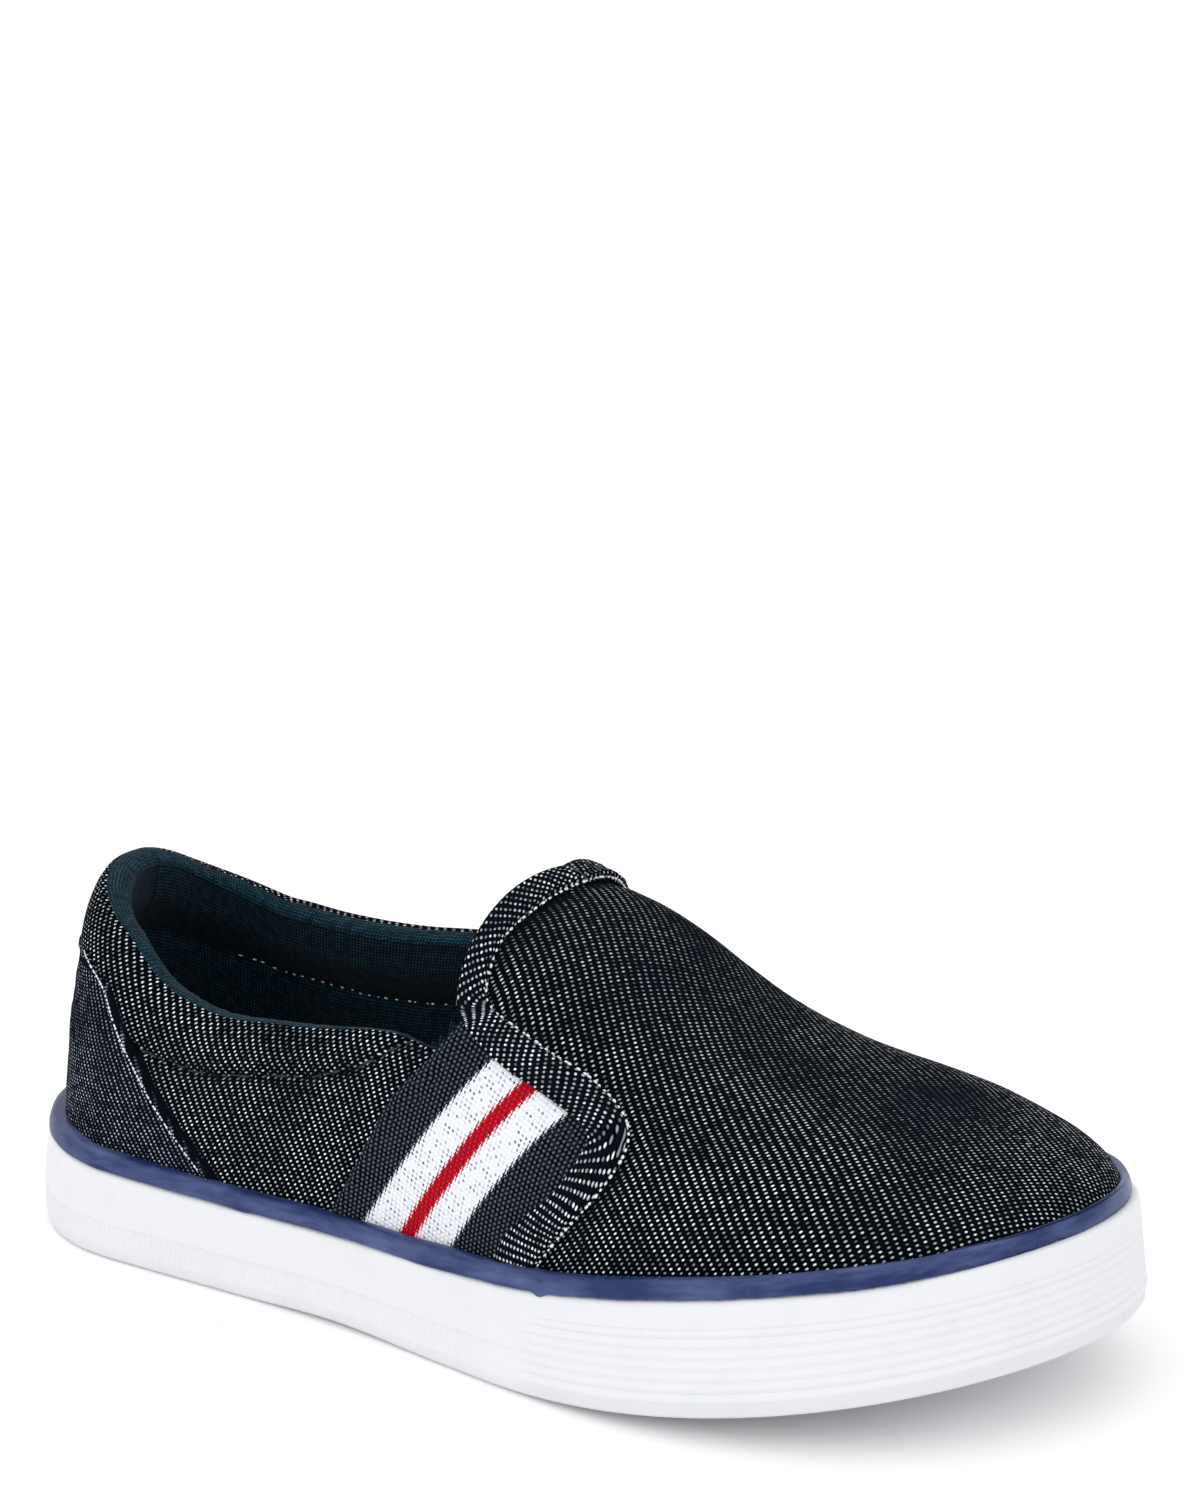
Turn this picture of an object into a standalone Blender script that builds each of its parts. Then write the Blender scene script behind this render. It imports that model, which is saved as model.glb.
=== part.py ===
"""Child's slip-on sneaker, right shoe: every piece is skinned from one last form.

Frame: metres, +X towards the toe, +Y towards the inner (medial) side, +Z up,
origin on the floor below the middle of the shoe's length.
"""

import math

import bmesh
import bpy
import numpy as np

MM = 0.001

# Driving sizes
SHOE_LENGTH = 180 * MM
BALL_WIDTH = 81 * MM
INSTEP_HEIGHT = 64.7 * MM
COLLAR_HEIGHT = 54.5 * MM
SIDEWALL_HEIGHT = 13 * MM
TOE_SPRING = 11.8 * MM
ARCH_LIFT = 1.2 * MM
TOE_SWING = 4 * MM
CREST_SWING = 3 * MM

# Sole
SOLE_HEEL = 7 * MM
SOLE_FOREFOOT = 5.5 * MM
GROOVE_WIDTH = 1.8 * MM
GROOVE_DEPTH = 1.5 * MM
GROOVE_PITCH = 6.6 * MM
GROOVE_WAVE = 2.4 * MM
TREAD_BORDER = 6 * MM

# Pieces on the sole and upper
UPPER_WALL = 2.2 * MM
COLLAR_WALL = 5 * MM
COLLAR_PAD_DEPTH = 13 * MM
GORE_WALL = 1.4 * MM
GORE_RECESS = 0.3 * MM
GORE_GAP = 0.5 * MM
GORE_SPAN = 28 * MM
OVERLAY_WALL = 1 * MM
OVERLAY_GAP = 0.5 * MM
STRIPE_HEIGHT = 2.8 * MM
INSOLE_WALL = 3 * MM
CLEARANCE = 0.3 * MM


def table(columns, rows):
    """Hand-set rows under named columns."""
    return {name: np.array([row[i] for row in rows], float) for i, name in enumerate(columns.split())}


# Half widths of the sole as shares of the ball width, along the length
OUTLINE = table("along lateral medial", [
    (0.00, 0.355, 0.345),
    (0.14, 0.385, 0.360),
    (0.28, 0.395, 0.355),
    (0.43, 0.415, 0.375),
    (0.57, 0.465, 0.430),
    (0.69, 0.500, 0.490),
    (0.81, 0.500, 0.500),
    (1.00, 0.460, 0.460),
])
TOE_ROUND = 0.38
TOE_BLUNTNESS = 3.35
HEEL_ROUND = 0.163
HEEL_BLUNTNESS = 2.2
HEEL_FULLNESS = 2.1

# How far the sidewall's rim and the upper stand in from the outline, as shares of the ball width
EDGE = table("along rim upper", [
    (0.00, 0.012, 0.056),
    (0.10, 0.015, 0.058),
    (0.25, 0.025, 0.061),
    (0.50, 0.030, 0.062),
    (0.80, 0.027, 0.059),
    (1.00, 0.020, 0.050),
])

# Rim of the sidewall above the sprung floor line, as shares of the sidewall height
RIM = table("along height", [
    (0.00, 1.17),
    (0.20, 1.01),
    (0.42, 0.985),
    (0.55, 1.045),
    (0.62, 1.12),
    (0.72, 1.22),
    (0.80, 1.26),
    (0.90, 1.245),
    (1.00, 1.215),
])
SPRING_START = 0.58
SPRING_CURVE = 1.6
ARCH_START = 0.30
ARCH_END = 0.52
LATERAL_ARCH = 0.4

# Top line of the last above the sprung floor line, as shares of the instep height
CREST = table("along height", [
    (0.00, 1.422),
    (0.20, 1.360),
    (0.35, 1.244),
    (0.44, 1.105),
    (0.505, 0.984),
    (0.56, 0.925),
    (0.64, 0.768),
    (0.72, 0.635),
    (0.82, 0.532),
    (0.90, 0.457),
    (1.00, 0.379),
])
CREST_SWING_CENTRE = 0.6
CREST_SWING_REACH = 0.35

# Fullness of the cross sections: 2 is an ellipse, more is squarer
SECTION = table("along lateral medial", [
    (0.00, 1.70, 1.70),
    (0.15, 1.65, 1.60),
    (0.30, 1.80, 1.75),
    (0.50, 2.05, 2.10),
    (0.62, 2.05, 2.20),
    (0.80, 2.30, 2.40),
    (1.00, 2.40, 2.40),
])
# Where the spine of the last ends, as shares of the length from its middle
TOE_POLE = 0.306
HEEL_POLE = -0.322
POLE_SOFTNESS = 0.033
POLE_REACH = 0.8 * MM

# Topline height as shares of the collar height; the last row is the corner beside the gore
COLLAR = table("along lateral medial", [
    (0.000, 1.000, 1.000),
    (0.030, 0.990, 0.955),
    (0.075, 0.968, 0.878),
    (0.100, 0.950, 0.838),
    (0.130, 0.925, 0.803),
    (0.156, 0.884, 0.792),
    (0.182, 0.829, 0.784),
    (0.218, 0.785, 0.780),
    (0.261, 0.763, 0.783),
    (0.304, 0.771, 0.792),
    (0.344, 0.782, 0.806),
    (0.400, 0.811, 0.815),
    (0.441, 0.820, 0.820),
    (0.475, 0.800, 0.810),
])
# Last column at the collar, on the station scale of sole_outline, and the stretch where the padding fades
CORNER = 0.478
PAD_TAPER = 0.09

# Binding round the throat from the foot of the vamp seam to the top of the tab, station and degrees
BINDING = table("seam_station seam_angle edge_station edge_angle", [
    (0.571, 3.5, 0.543, 3.5),
    (0.585, 11.1, 0.557, 11.1),
    (0.600, 19.8, 0.575, 17.7),
    (0.610, 29.2, 0.587, 26.8),
    (0.612, 36.8, 0.590, 33.6),
    (0.606, 42.0, 0.584, 36.0),
    (0.593, 44.8, 0.572, 36.5),
    (0.575, 45.5, 0.555, 36.5),
    (0.558, 44.5, 0.538, 36.3),
    (0.542, 44.1, 0.523, 37.2),
    (0.524, 44.5, 0.509, 39.0),
    (0.511, 45.8, 0.498, 41.3),
    (0.506, 49.0, 0.4935, 45.0),
    (0.504, 54.0, 0.492, 50.0),
    (0.504, 60.0, 0.492, 56.5),
    (0.508, 69.0, 0.494, 66.0),
    (0.511, 79.0, 0.497, 77.0),
    (0.513, 90.0, 0.501, 90.0),
])
TAB_FIRST_ROW = 12

# Gore: back and front edges up the side, and its top edge from back to front
GORE_SIDES = table("up back_station back_angle front_station front_angle", [
    (0.00, 0.424, 1.0, 0.541, 1.0),
    (0.30, 0.451, 13.5, 0.557, 11.1),
    (0.55, 0.466, 22.0, 0.575, 17.7),
    (0.80, 0.484, 30.5, 0.587, 26.8),
    (1.00, 0.498, 39.3, 0.589, 33.4),
])
WINDOW_CORNER_BACK = 0.012
WINDOW_CORNER_UP = 4.5
GORE_TOP = table("across station angle", [
    (0.00, 0.498, 39.3),
    (0.23, 0.524, 37.0),
    (0.44, 0.544, 36.3),
    (0.54, 0.553, 36.3),
    (0.74, 0.572, 36.0),
    (1.00, 0.589, 33.4),
])

# Front edge of the heel counter; height runs from the stripe to the counter's top
COUNTER = table("up station", [
    (0.00, 0.334),
    (0.18, 0.313),
    (0.36, 0.292),
    (0.55, 0.272),
    (0.75, 0.248),
    (0.90, 0.220),
    (1.00, 0.165),
])
COUNTER_TOP = 0.81


def smooth(x, xs, ys):
    """Natural cubic spline through a table's points."""
    x = np.asarray(x, float)
    count = len(xs)
    step = np.diff(xs)
    matrix = np.eye(count)
    right = np.zeros(count)
    for i in range(1, count - 1):
        matrix[i, i - 1:i + 2] = step[i - 1], 2 * (step[i - 1] + step[i]), step[i]
        right[i] = 6 * ((ys[i + 1] - ys[i]) / step[i] - (ys[i] - ys[i - 1]) / step[i - 1])
    bend = np.linalg.solve(matrix, right)
    k = np.clip(np.searchsorted(xs, x) - 1, 0, count - 2)
    after = x - xs[k]
    before = xs[k + 1] - x
    curve = (bend[k] * before**3 + bend[k + 1] * after**3) / (6 * step[k])
    start = (ys[k] / step[k] - bend[k] * step[k] / 6) * before
    end = (ys[k + 1] / step[k] - bend[k + 1] * step[k] / 6) * after
    return curve + start + end


def look_up(rows, column, value, key="along"):
    return smooth(np.clip(value, rows[key][0], rows[key][-1]), rows[key], rows[column])


def along_at(x):
    """0 at the back of the heel, 1 at the tip of the toe."""
    return x / SHOE_LENGTH + 0.5


def along_of(station):
    """Stations 0 .. 1 crowd together towards heel and toe, where the outline turns."""
    return 0.5 - 0.5 * np.cos(np.pi * np.asarray(station, float))


def sole_outline(station, side):
    """Plan outline of the sole; side is -1 lateral or +1 medial."""
    along = along_of(station)
    toe = np.clip((along - 1 + TOE_ROUND) / TOE_ROUND, 0, 1)
    heel = np.clip((HEEL_ROUND - along) / HEEL_ROUND, 0, 1)
    toe_share = np.sqrt(np.clip(1 - toe**TOE_BLUNTNESS, 0, 1))
    heel_share = np.clip(1 - heel**HEEL_BLUNTNESS, 0, 1)**(1 / HEEL_FULLNESS)
    column = np.where(side < 0, look_up(OUTLINE, "lateral", along), look_up(OUTLINE, "medial", along))
    swing = TOE_SWING * np.clip((along - 0.6) / 0.4, 0, 1)**2
    y = side * column * BALL_WIDTH * toe_share * heel_share + swing
    return np.stack([(along - 0.5) * SHOE_LENGTH, y], -1)


def wrapped(station, side):
    """A station past heel or toe comes back on the other side."""
    past = (station < 0) | (station > 1)
    inside = np.where(station < 0, -station, np.where(station > 1, 2 - station, station))
    return inside, np.where(past, -side, side)


def inset_outline(station, side, inset):
    """The sole's outline moved inwards along its own normal."""
    station, side = np.broadcast_arrays(np.asarray(station, float), np.asarray(side, float))
    small = 1e-4
    tangent = sole_outline(*wrapped(station + small, side)) - sole_outline(*wrapped(station - small, side))
    tangent /= np.linalg.norm(tangent, axis=-1, keepdims=True)
    outward = side[..., None] * np.stack([-tangent[..., 1], tangent[..., 0]], -1)
    return sole_outline(station, side) - outward * np.broadcast_to(inset, station.shape)[..., None]


def edge_inset(station, column):
    return look_up(EDGE, column, along_of(station)) * BALL_WIDTH


def spring(x):
    return TOE_SPRING * np.clip((along_at(x) - SPRING_START) / (1 - SPRING_START), 0, 1)**SPRING_CURVE


def underside(points):
    """Height of the tread: flat at heel and ball, lifted under the arch, sprung at the toe."""
    x, y = points[..., 0], points[..., 1]
    share = np.clip((along_at(x) - ARCH_START) / (ARCH_END - ARCH_START), 0, 1)
    medial = np.clip(0.5 + y / (0.8 * BALL_WIDTH), 0, 1)
    lift = ARCH_LIFT * np.sin(np.pi * share)**2 * (LATERAL_ARCH + (1 - LATERAL_ARCH) * medial)
    return spring(x) + lift


def rim_height(x):
    return spring(x) + SIDEWALL_HEIGHT * look_up(RIM, "height", along_at(x))


def crest_height(x):
    return spring(x) + INSTEP_HEIGHT * look_up(CREST, "height", along_at(x))


def floor_height(x):
    """Top of the outsole inside the cup."""
    forward = np.clip((along_at(x) - ARCH_START) / (ARCH_END - ARCH_START), 0, 1)
    return spring(x) + SOLE_HEEL + (SOLE_FOREFOOT - SOLE_HEEL) * forward**2 * (3 - 2 * forward)


def soft_ramp(value):
    softness = POLE_SOFTNESS * SHOE_LENGTH
    return softness * np.logaddexp(0, value / softness)


def spine_x(x):
    """The spine stops short of heel and toe, so the rays there gather at a soft pole."""
    heel = HEEL_POLE * SHOE_LENGTH
    return heel + soft_ramp(x - heel) - soft_ramp(x - TOE_POLE * SHOE_LENGTH)


def last_point(station, angle, side):
    station, side = wrapped(station, side)
    lateral = inset_outline(station, -1, edge_inset(station, "upper"))
    medial = inset_outline(station, 1, edge_inset(station, "upper"))
    base = np.where(side[..., None] < 0, lateral, medial)
    middle = (lateral + medial) / 2
    along = along_at(middle[..., 0])
    swing = CREST_SWING * np.clip(1 - np.abs(along - CREST_SWING_CENTRE) / CREST_SWING_REACH, 0, 1)
    spine = np.stack([spine_x(middle[..., 0]), middle[..., 1] + swing], -1)
    power = 2 / np.where(side < 0, look_up(SECTION, "lateral", along), look_up(SECTION, "medial", along))
    plan = spine + (base - spine) * (np.cos(angle)**power)[..., None]
    foot = rim_height(plan[..., 0])
    z = foot + (crest_height(plan[..., 0]) - foot) * np.sin(angle)**power
    return np.concatenate([plan, z[..., None]], -1)


def surface(station, degrees, side, offset=0.0):
    """Point of the upper's outer form: 0 degrees at the rim, 90 at the crest; offset is outwards."""
    station, degrees, side = np.broadcast_arrays(
        np.asarray(station, float), np.asarray(degrees, float), np.asarray(side, float))
    angle = np.radians(np.clip(degrees, 0, 90))
    point = last_point(station, angle, side)
    near = np.radians(np.clip(degrees, 0.5, 86))
    small = 2e-3
    forward = last_point(station + small, near, side) - last_point(station - small, near, side)
    up = last_point(station, near + small, side) - last_point(station, near - small, side)
    normal = side[..., None] * np.cross(up, forward)
    normal /= np.linalg.norm(normal, axis=-1, keepdims=True)
    return point + normal * np.broadcast_to(offset, station.shape)[..., None]


def angle_at(station, side, height):
    """Degrees at which the form reaches a height."""
    low = np.zeros(np.shape(station))
    high = np.full(np.shape(station), 85.0)
    for _ in range(30):
        middle = (low + high) / 2
        below = surface(station, middle, side)[..., 2] < height
        low = np.where(below, middle, low)
        high = np.where(below, high, middle)
    return (low + high) / 2


# Columns of points up each side: foot station, top station, top angle and share of the rolled lip
REAR_COLUMNS = 15
FRONT_COLUMNS = 15
TAB_FEET = 0.540
ROWS = 8


def side_columns(side):
    rear = np.linspace(0, CORNER, REAR_COLUMNS)
    along = along_of(rear)
    crest = look_up(COLLAR, "lateral" if side < 0 else "medial", along) * COLLAR_HEIGHT
    rear_angle = angle_at(rear, side, crest - lip_height())
    edge_station = BINDING["edge_station"][TAB_FIRST_ROW:]
    edge_angle = BINDING["edge_angle"][TAB_FIRST_ROW:]
    bridge = np.array([0.3, 0.7])
    bridge_station = CORNER + (edge_station[0] - CORNER) * bridge
    bridge_angle = rear_angle[-1] + (edge_angle[0] - rear_angle[-1]) * bridge
    tops = np.concatenate([bridge_station, edge_station])
    angles = np.concatenate([bridge_angle, edge_angle])
    feet = CORNER + (TAB_FEET - CORNER) * np.arange(1, len(tops) + 1) / len(tops)
    front = np.linspace(TAB_FEET, 1, FRONT_COLUMNS + 1)[1:]
    lead = (TAB_FEET - edge_station[-1]) * (1 - np.clip((front - TAB_FEET) / 0.25, 0, 1))**2
    lips = np.zeros(len(rear) + len(tops) + len(front))
    lips[:len(rear)] = 1
    return {
        "foot": np.concatenate([rear, feet, front]),
        "top": np.concatenate([rear, tops, front - lead]),
        "angle": np.concatenate([rear_angle, angles, np.full(len(front), 90.0)]),
        "lip": lips,
        "open": len(rear) + len(tops) - 1,
    }


def lip_height():
    return 0.3 * COLLAR_WALL


def closed_loop(lateral, medial):
    """Lateral side heel to toe, then the medial side back, sharing both end points."""
    return np.concatenate([lateral, medial[-2:0:-1]])


def foot_stations():
    return side_columns(-1)["foot"]


def outline_loop(inset, height):
    """A loop round the shoe; inset is a length or a column of EDGE with a length added."""
    stations = foot_stations()
    sides = []
    for side in (-1, 1):
        if isinstance(inset, tuple):
            amount = edge_inset(stations, inset[0]) + inset[1]
        else:
            amount = inset
        sides.append(inset_outline(stations, side, amount))
    plan = closed_loop(*sides)
    return np.column_stack([plan, height(plan)])


def wall_thickness(side, degrees, columns):
    """Thin cloth wall, thickening to the padded collar towards the topline."""
    rear = columns["foot"] <= CORNER
    top = surface(columns["top"], columns["angle"], side)
    here = surface(columns["foot"], degrees, side)
    depth = np.linalg.norm(top - here, axis=-1)
    pad = np.clip(1 - depth / COLLAR_PAD_DEPTH, 0, 1)
    thinning = np.clip((CORNER - columns["foot"]) / PAD_TAPER, 0, 1)
    pad = np.where(rear, pad**2 * (3 - 2 * pad) * thinning, 0)
    return UPPER_WALL + (COLLAR_WALL - UPPER_WALL) * np.clip(pad * 1.6, 0, 1)


def upper_rows(inner):
    """Rows of the shell from its bottom edge to its top edge, each one loop round the shoe."""
    sides = {side: side_columns(side) for side in (-1, 1)}
    rows = []
    base = floor_height
    for share in (0, 0.5):
        loop = []
        for side in (-1, 1):
            stations = sides[side]["foot"]
            inset = edge_inset(stations, "upper") + (UPPER_WALL if inner else 0)
            plan = inset_outline(stations, side, inset)
            low = base(plan[:, 0]) + CLEARANCE
            high = rim_height(plan[:, 0])
            loop.append(np.column_stack([plan, low + (high - low) * share]))
        rows.append(closed_loop(*loop))
    for row in range(ROWS + 1):
        share = row / ROWS
        loop = []
        for side in (-1, 1):
            columns = sides[side]
            station = columns["foot"] + (columns["top"] - columns["foot"]) * share**2
            degrees = columns["angle"] * share
            offset = -wall_thickness(side, degrees, columns) if inner else 0.0
            loop.append(surface(station, degrees, side, offset))
        if row == ROWS:
            meet_at_crest(loop, sides[-1]["open"])
        rows.append(closed_loop(*loop))
    return rows


def meet_at_crest(loop, first):
    """Both sides share the crest ahead of the throat, and the last few points share the toe's pole."""
    middle = (loop[0][first:] + loop[1][first:]) / 2
    at_pole = np.linalg.norm(middle - middle[-1], axis=1) < POLE_REACH
    middle[at_pole] = middle[-1]
    loop[0][first:] = middle
    loop[1][first:] = middle


def add_mesh(name, points, faces):
    mesh = bpy.data.meshes.new(name)
    mesh.from_pydata([tuple(p) for p in points], [], [tuple(int(i) for i in f) for f in faces])
    work = bmesh.new()
    work.from_mesh(mesh)
    bmesh.ops.triangulate(work, faces=work.faces)
    work.to_mesh(mesh)
    work.free()
    made = bpy.data.objects.new(name, mesh)
    bpy.context.scene.collection.objects.link(made)
    return made


def band(first, second, count, open_ended=False):
    """Quads between two loops of points that start at these indices."""
    steps = count - 1 if open_ended else count
    return [(first + i, first + (i + 1) % count, second + (i + 1) % count, second + i) for i in range(steps)]


def ladder(first, count, up):
    """Closes a loop with rungs from the lateral to the medial side."""
    half = count // 2
    faces = []
    for i in range(half):
        a, b = i, i + 1
        c, d = (count - i - 1) % count, (count - i) % count
        corners = [first + k for k in dict.fromkeys((a, b, c, d))]
        faces.append(corners if up else corners[::-1])
    return faces


def skin(name, loops, closed_tube=False):
    """Solid through loops that run from below, outside and up to the inside."""
    count = len(loops[0])
    points = np.concatenate(loops)
    faces = []
    for i in range(len(loops) - 1):
        faces += band(i * count, (i + 1) * count, count)
    if closed_tube:
        faces += band((len(loops) - 1) * count, 0, count)
    else:
        faces += ladder(0, count, up=False)
        faces += ladder((len(loops) - 1) * count, count, up=True)
    return add_mesh(name, points, faces)


def weld_points(points, faces):
    """Gives points at one place one index and drops what collapses."""
    keys = np.round(points / 1e-7).astype(np.int64)
    _, first, index = np.unique(keys, axis=0, return_index=True, return_inverse=True)
    index = index.reshape(-1)
    kept = []
    for face in faces:
        corners = list(dict.fromkeys(int(index[i]) for i in face))
        if len(corners) > 2:
            kept.append(corners)
    return points[first], kept


def patch(name, station, degrees, side, low, high):
    """Slab over a grid of stations and degrees between two offsets of the form."""
    rows, columns = station.shape
    inner = surface(station, degrees, side, low).reshape(-1, 3)
    outer = surface(station, degrees, side, high).reshape(-1, 3)
    total = rows * columns
    faces = []
    for r in range(rows - 1):
        for c in range(columns - 1):
            a = r * columns + c
            quad = (a, a + 1, a + columns + 1, a + columns)
            faces.append(tuple(total + k for k in quad))
            faces.append(quad[::-1])
    rim = [(0, c) for c in range(columns)] + [(r, columns - 1) for r in range(1, rows)]
    rim += [(rows - 1, c) for c in range(columns - 2, -1, -1)] + [(r, 0) for r in range(rows - 2, 0, -1)]
    ring = [r * columns + c for r, c in rim]
    for i, start in enumerate(ring):
        end = ring[(i + 1) % len(ring)]
        faces.append((start, end, total + end, total + start))
    return add_mesh(name, *weld_points(np.concatenate([inner, outer]), faces))


def face_outwards(made):
    """Turns the faces of a closed mesh outwards."""
    mesh = made.data
    mesh.calc_loop_triangles()
    volume = 0.0
    for triangle in mesh.loop_triangles:
        a, b, c = (mesh.vertices[i].co for i in triangle.vertices)
        volume += a.dot(b.cross(c))
    if volume < 0:
        mesh.flip_normals()
    return made


def finish(made, colour, roughness):
    material = bpy.data.materials.new(made.name)
    material.use_nodes = True
    shader = material.node_tree.nodes["Principled BSDF"]
    shader.inputs["Base Color"].default_value = (*colour, 1)
    shader.inputs["Roughness"].default_value = roughness
    shader.inputs["Metallic"].default_value = 0.0
    made.data.materials.append(material)
    made.data.shade_smooth()
    made.data.set_sharp_from_angle(angle=math.radians(40))
    return made


def cut_with(made, cutter):
    cutter.hide_render = True
    cutter.display_type = "WIRE"
    cut = made.modifiers.new("cut " + cutter.name, "BOOLEAN")
    cut.operation = "DIFFERENCE"
    cut.solver = "EXACT"
    cut.object = cutter


def make_cupsole():
    """White rubber unit: tread, sidewall and the cup that holds the upper."""
    def tread(rise):
        return lambda plan: underside(plan) + rise

    def wall_share(share):
        return lambda plan: underside(plan) + (rim_height(plan[:, 0]) - underside(plan)) * share

    loops = [
        outline_loop(1.6 * MM, tread(0)),
        outline_loop(0.4 * MM, tread(0.6 * MM)),
        outline_loop(0.0, tread(2.2 * MM)),
        outline_loop(("rim", -0.8 * MM), wall_share(0.6)),
        outline_loop(("rim", 0.0), wall_share(0.94)),
        outline_loop(("rim", 0.5 * MM), lambda plan: rim_height(plan[:, 0]) - 0.15 * MM),
        outline_loop(("rim", 1.0 * MM), lambda plan: rim_height(plan[:, 0])),
        outline_loop(("upper", -CLEARANCE), lambda plan: rim_height(plan[:, 0])),
        outline_loop(("upper", -CLEARANCE), lambda plan: floor_height(plan[:, 0])),
    ]
    sole = skin("cupsole", loops)
    cut_with(sole, face_outwards(make_groove_cutter()))
    return sole


def width_at(x, side, inset):
    """Half width of the tread inside its border, at a place along the length."""
    station = np.arccos(1 - 2 * along_at(x)) / np.pi
    return inset_outline(station, side, inset)[..., 1]


def make_groove_cutter():
    """Zigzag bars across heel and forefoot that cut the tread into lugs."""
    points = []
    faces = []
    for start, end in ((0.06, 0.27), (0.55, 0.90)):
        count = int((end - start) * SHOE_LENGTH / GROOVE_PITCH)
        for k in range(count):
            x = (start + (end - start) * (k + 0.5) / count - 0.5) * SHOE_LENGTH
            low = width_at(x, -1, TREAD_BORDER)
            high = width_at(x, 1, TREAD_BORDER)
            zigs = max(2, round((high - low) / (2 * GROOVE_WAVE)))
            y = np.linspace(low, high, zigs + 1)
            middle = x + GROOVE_WAVE / 2 * np.where(np.arange(zigs + 1) % 2, 1, -1)
            first = len(points)
            for px, py in zip(middle, y):
                top = spring(px) + GROOVE_DEPTH
                below = spring(px) - GROOVE_DEPTH
                back, ahead = px - GROOVE_WIDTH / 2, px + GROOVE_WIDTH / 2
                points += [(back, py, below), (ahead, py, below), (ahead, py, top), (back, py, top)]
            for i in range(zigs):
                a = first + 4 * i
                for j in range(4):
                    n = (j + 1) % 4
                    faces.append((a + j, a + n, a + 4 + n, a + 4 + j))
            faces.append((first + 3, first + 2, first + 1, first))
            last = first + 4 * zigs
            faces.append((last, last + 1, last + 2, last + 3))
    return add_mesh("groove_cutter", np.array(points), faces)


def make_foxing_stripe():
    """Navy rubber strip on the sole's ledge, against the foot of the upper."""
    def above(rise):
        return lambda plan: rim_height(plan[:, 0]) + rise

    loops = [
        outline_loop(("upper", -CLEARANCE), above(CLEARANCE)),
        outline_loop(("rim", 0.5 * MM), above(CLEARANCE)),
        outline_loop(("rim", 0.3 * MM), above(0.45 * STRIPE_HEIGHT)),
        outline_loop(("rim", 0.9 * MM), above(0.9 * STRIPE_HEIGHT)),
        outline_loop(("upper", -0.9 * MM), above(STRIPE_HEIGHT)),
        outline_loop(("upper", -CLEARANCE), above(0.9 * STRIPE_HEIGHT)),
    ]
    return skin("foxing_stripe", loops, closed_tube=True)


def make_insole():
    inset = UPPER_WALL + CLEARANCE

    def over(rise):
        return lambda plan: floor_height(plan[:, 0]) + CLEARANCE + rise

    loops = [
        outline_loop(("upper", inset), over(0)),
        outline_loop(("upper", inset), over(INSOLE_WALL - 0.8 * MM)),
        outline_loop(("upper", inset + 0.8 * MM), over(INSOLE_WALL)),
    ]
    return skin("insole", loops)


def make_upper():
    """Hollow shell of the last form, open at the collar, the throat and underneath."""
    outer = upper_rows(inner=False)
    inner = upper_rows(inner=True)
    count = len(outer[0])
    lateral = side_columns(-1)
    lip = closed_loop(lateral["lip"], lateral["lip"])
    rim_low, rim_high = outer[-1], inner[-1]
    across = rim_high - rim_low
    ridge = (rim_low + rim_high) / 2
    rise = lip * lip_height() * np.linalg.norm(across, axis=1) / COLLAR_WALL
    leaning = surface_up(rim_low, outer[-2])
    ridge = ridge + leaning * rise[:, None]
    first_closed = lateral["open"]
    front = np.arange(first_closed, count - first_closed + 1)
    ridge[front] = rim_low[front]
    loops = inner[::-1] + outer
    points = np.concatenate(loops + [ridge])
    faces = []
    for i in range(len(loops) - 1):
        faces += band(i * count, (i + 1) * count, count)
    last = (len(loops) - 1) * count
    ridge_at = len(loops) * count
    open_columns = [i for i in range(count) if not first_closed <= i < count - first_closed]
    for i in open_columns:
        j = (i + 1) % count
        faces.append((last + i, last + j, ridge_at + j, ridge_at + i))
        faces.append((ridge_at + i, ridge_at + j, j, i))
    for i in front:
        points[ridge_at + i] = points[last + i]
    shell = add_mesh("upper", *weld_points(points, faces))
    face_outwards(shell)
    for side, name in ((-1, "lateral_window"), (1, "medial_window")):
        station, degrees = window_grid()
        window = patch(name, station, degrees, side, -2 * COLLAR_WALL, COLLAR_WALL)
        cut_with(shell, face_outwards(window))
    return shell


def surface_up(top, below):
    """Unit direction in which each column leaves its top edge."""
    way = top - below
    return way / np.linalg.norm(way, axis=1, keepdims=True)


def gore_grid(columns, rows, margin=0.0):
    """Stations and degrees over the gore, from its back edge to its front edge and upwards."""
    spread = margin / GORE_SPAN
    across = np.linspace(-spread, 1 + spread, columns)[None, :]
    up = np.linspace(-spread, 1 + spread, rows)[:, None]
    grids = []
    for name in ("station", "angle"):
        back = smooth(up, GORE_SIDES["up"], GORE_SIDES["back_" + name])
        front = smooth(up, GORE_SIDES["up"], GORE_SIDES["front_" + name])
        top = smooth(across, GORE_TOP["across"], GORE_TOP[name])
        ends = GORE_TOP[name][[0, -1]]
        straight_top = ends[0] + (ends[1] - ends[0]) * across
        grids.append(back + (front - back) * across + up * (top - straight_top))
    return grids


def window_grid():
    """The gore's place with a gap round it, opened past the topline at its upper back corner."""
    station, degrees = gore_grid(9, 9, margin=GORE_GAP)
    up = np.linspace(0, 1, 9)[:, None]**6
    corner = up * (1 - np.linspace(0, 1, 9)[None, :])**2
    return station - WINDOW_CORNER_BACK * corner, degrees + WINDOW_CORNER_UP * corner


def make_gore(name, side):
    """Elastic tape set flush into its window."""
    station, degrees = gore_grid(9, 9)
    return face_outwards(patch(name, station, degrees, side, -GORE_RECESS - GORE_WALL, -GORE_RECESS))


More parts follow.
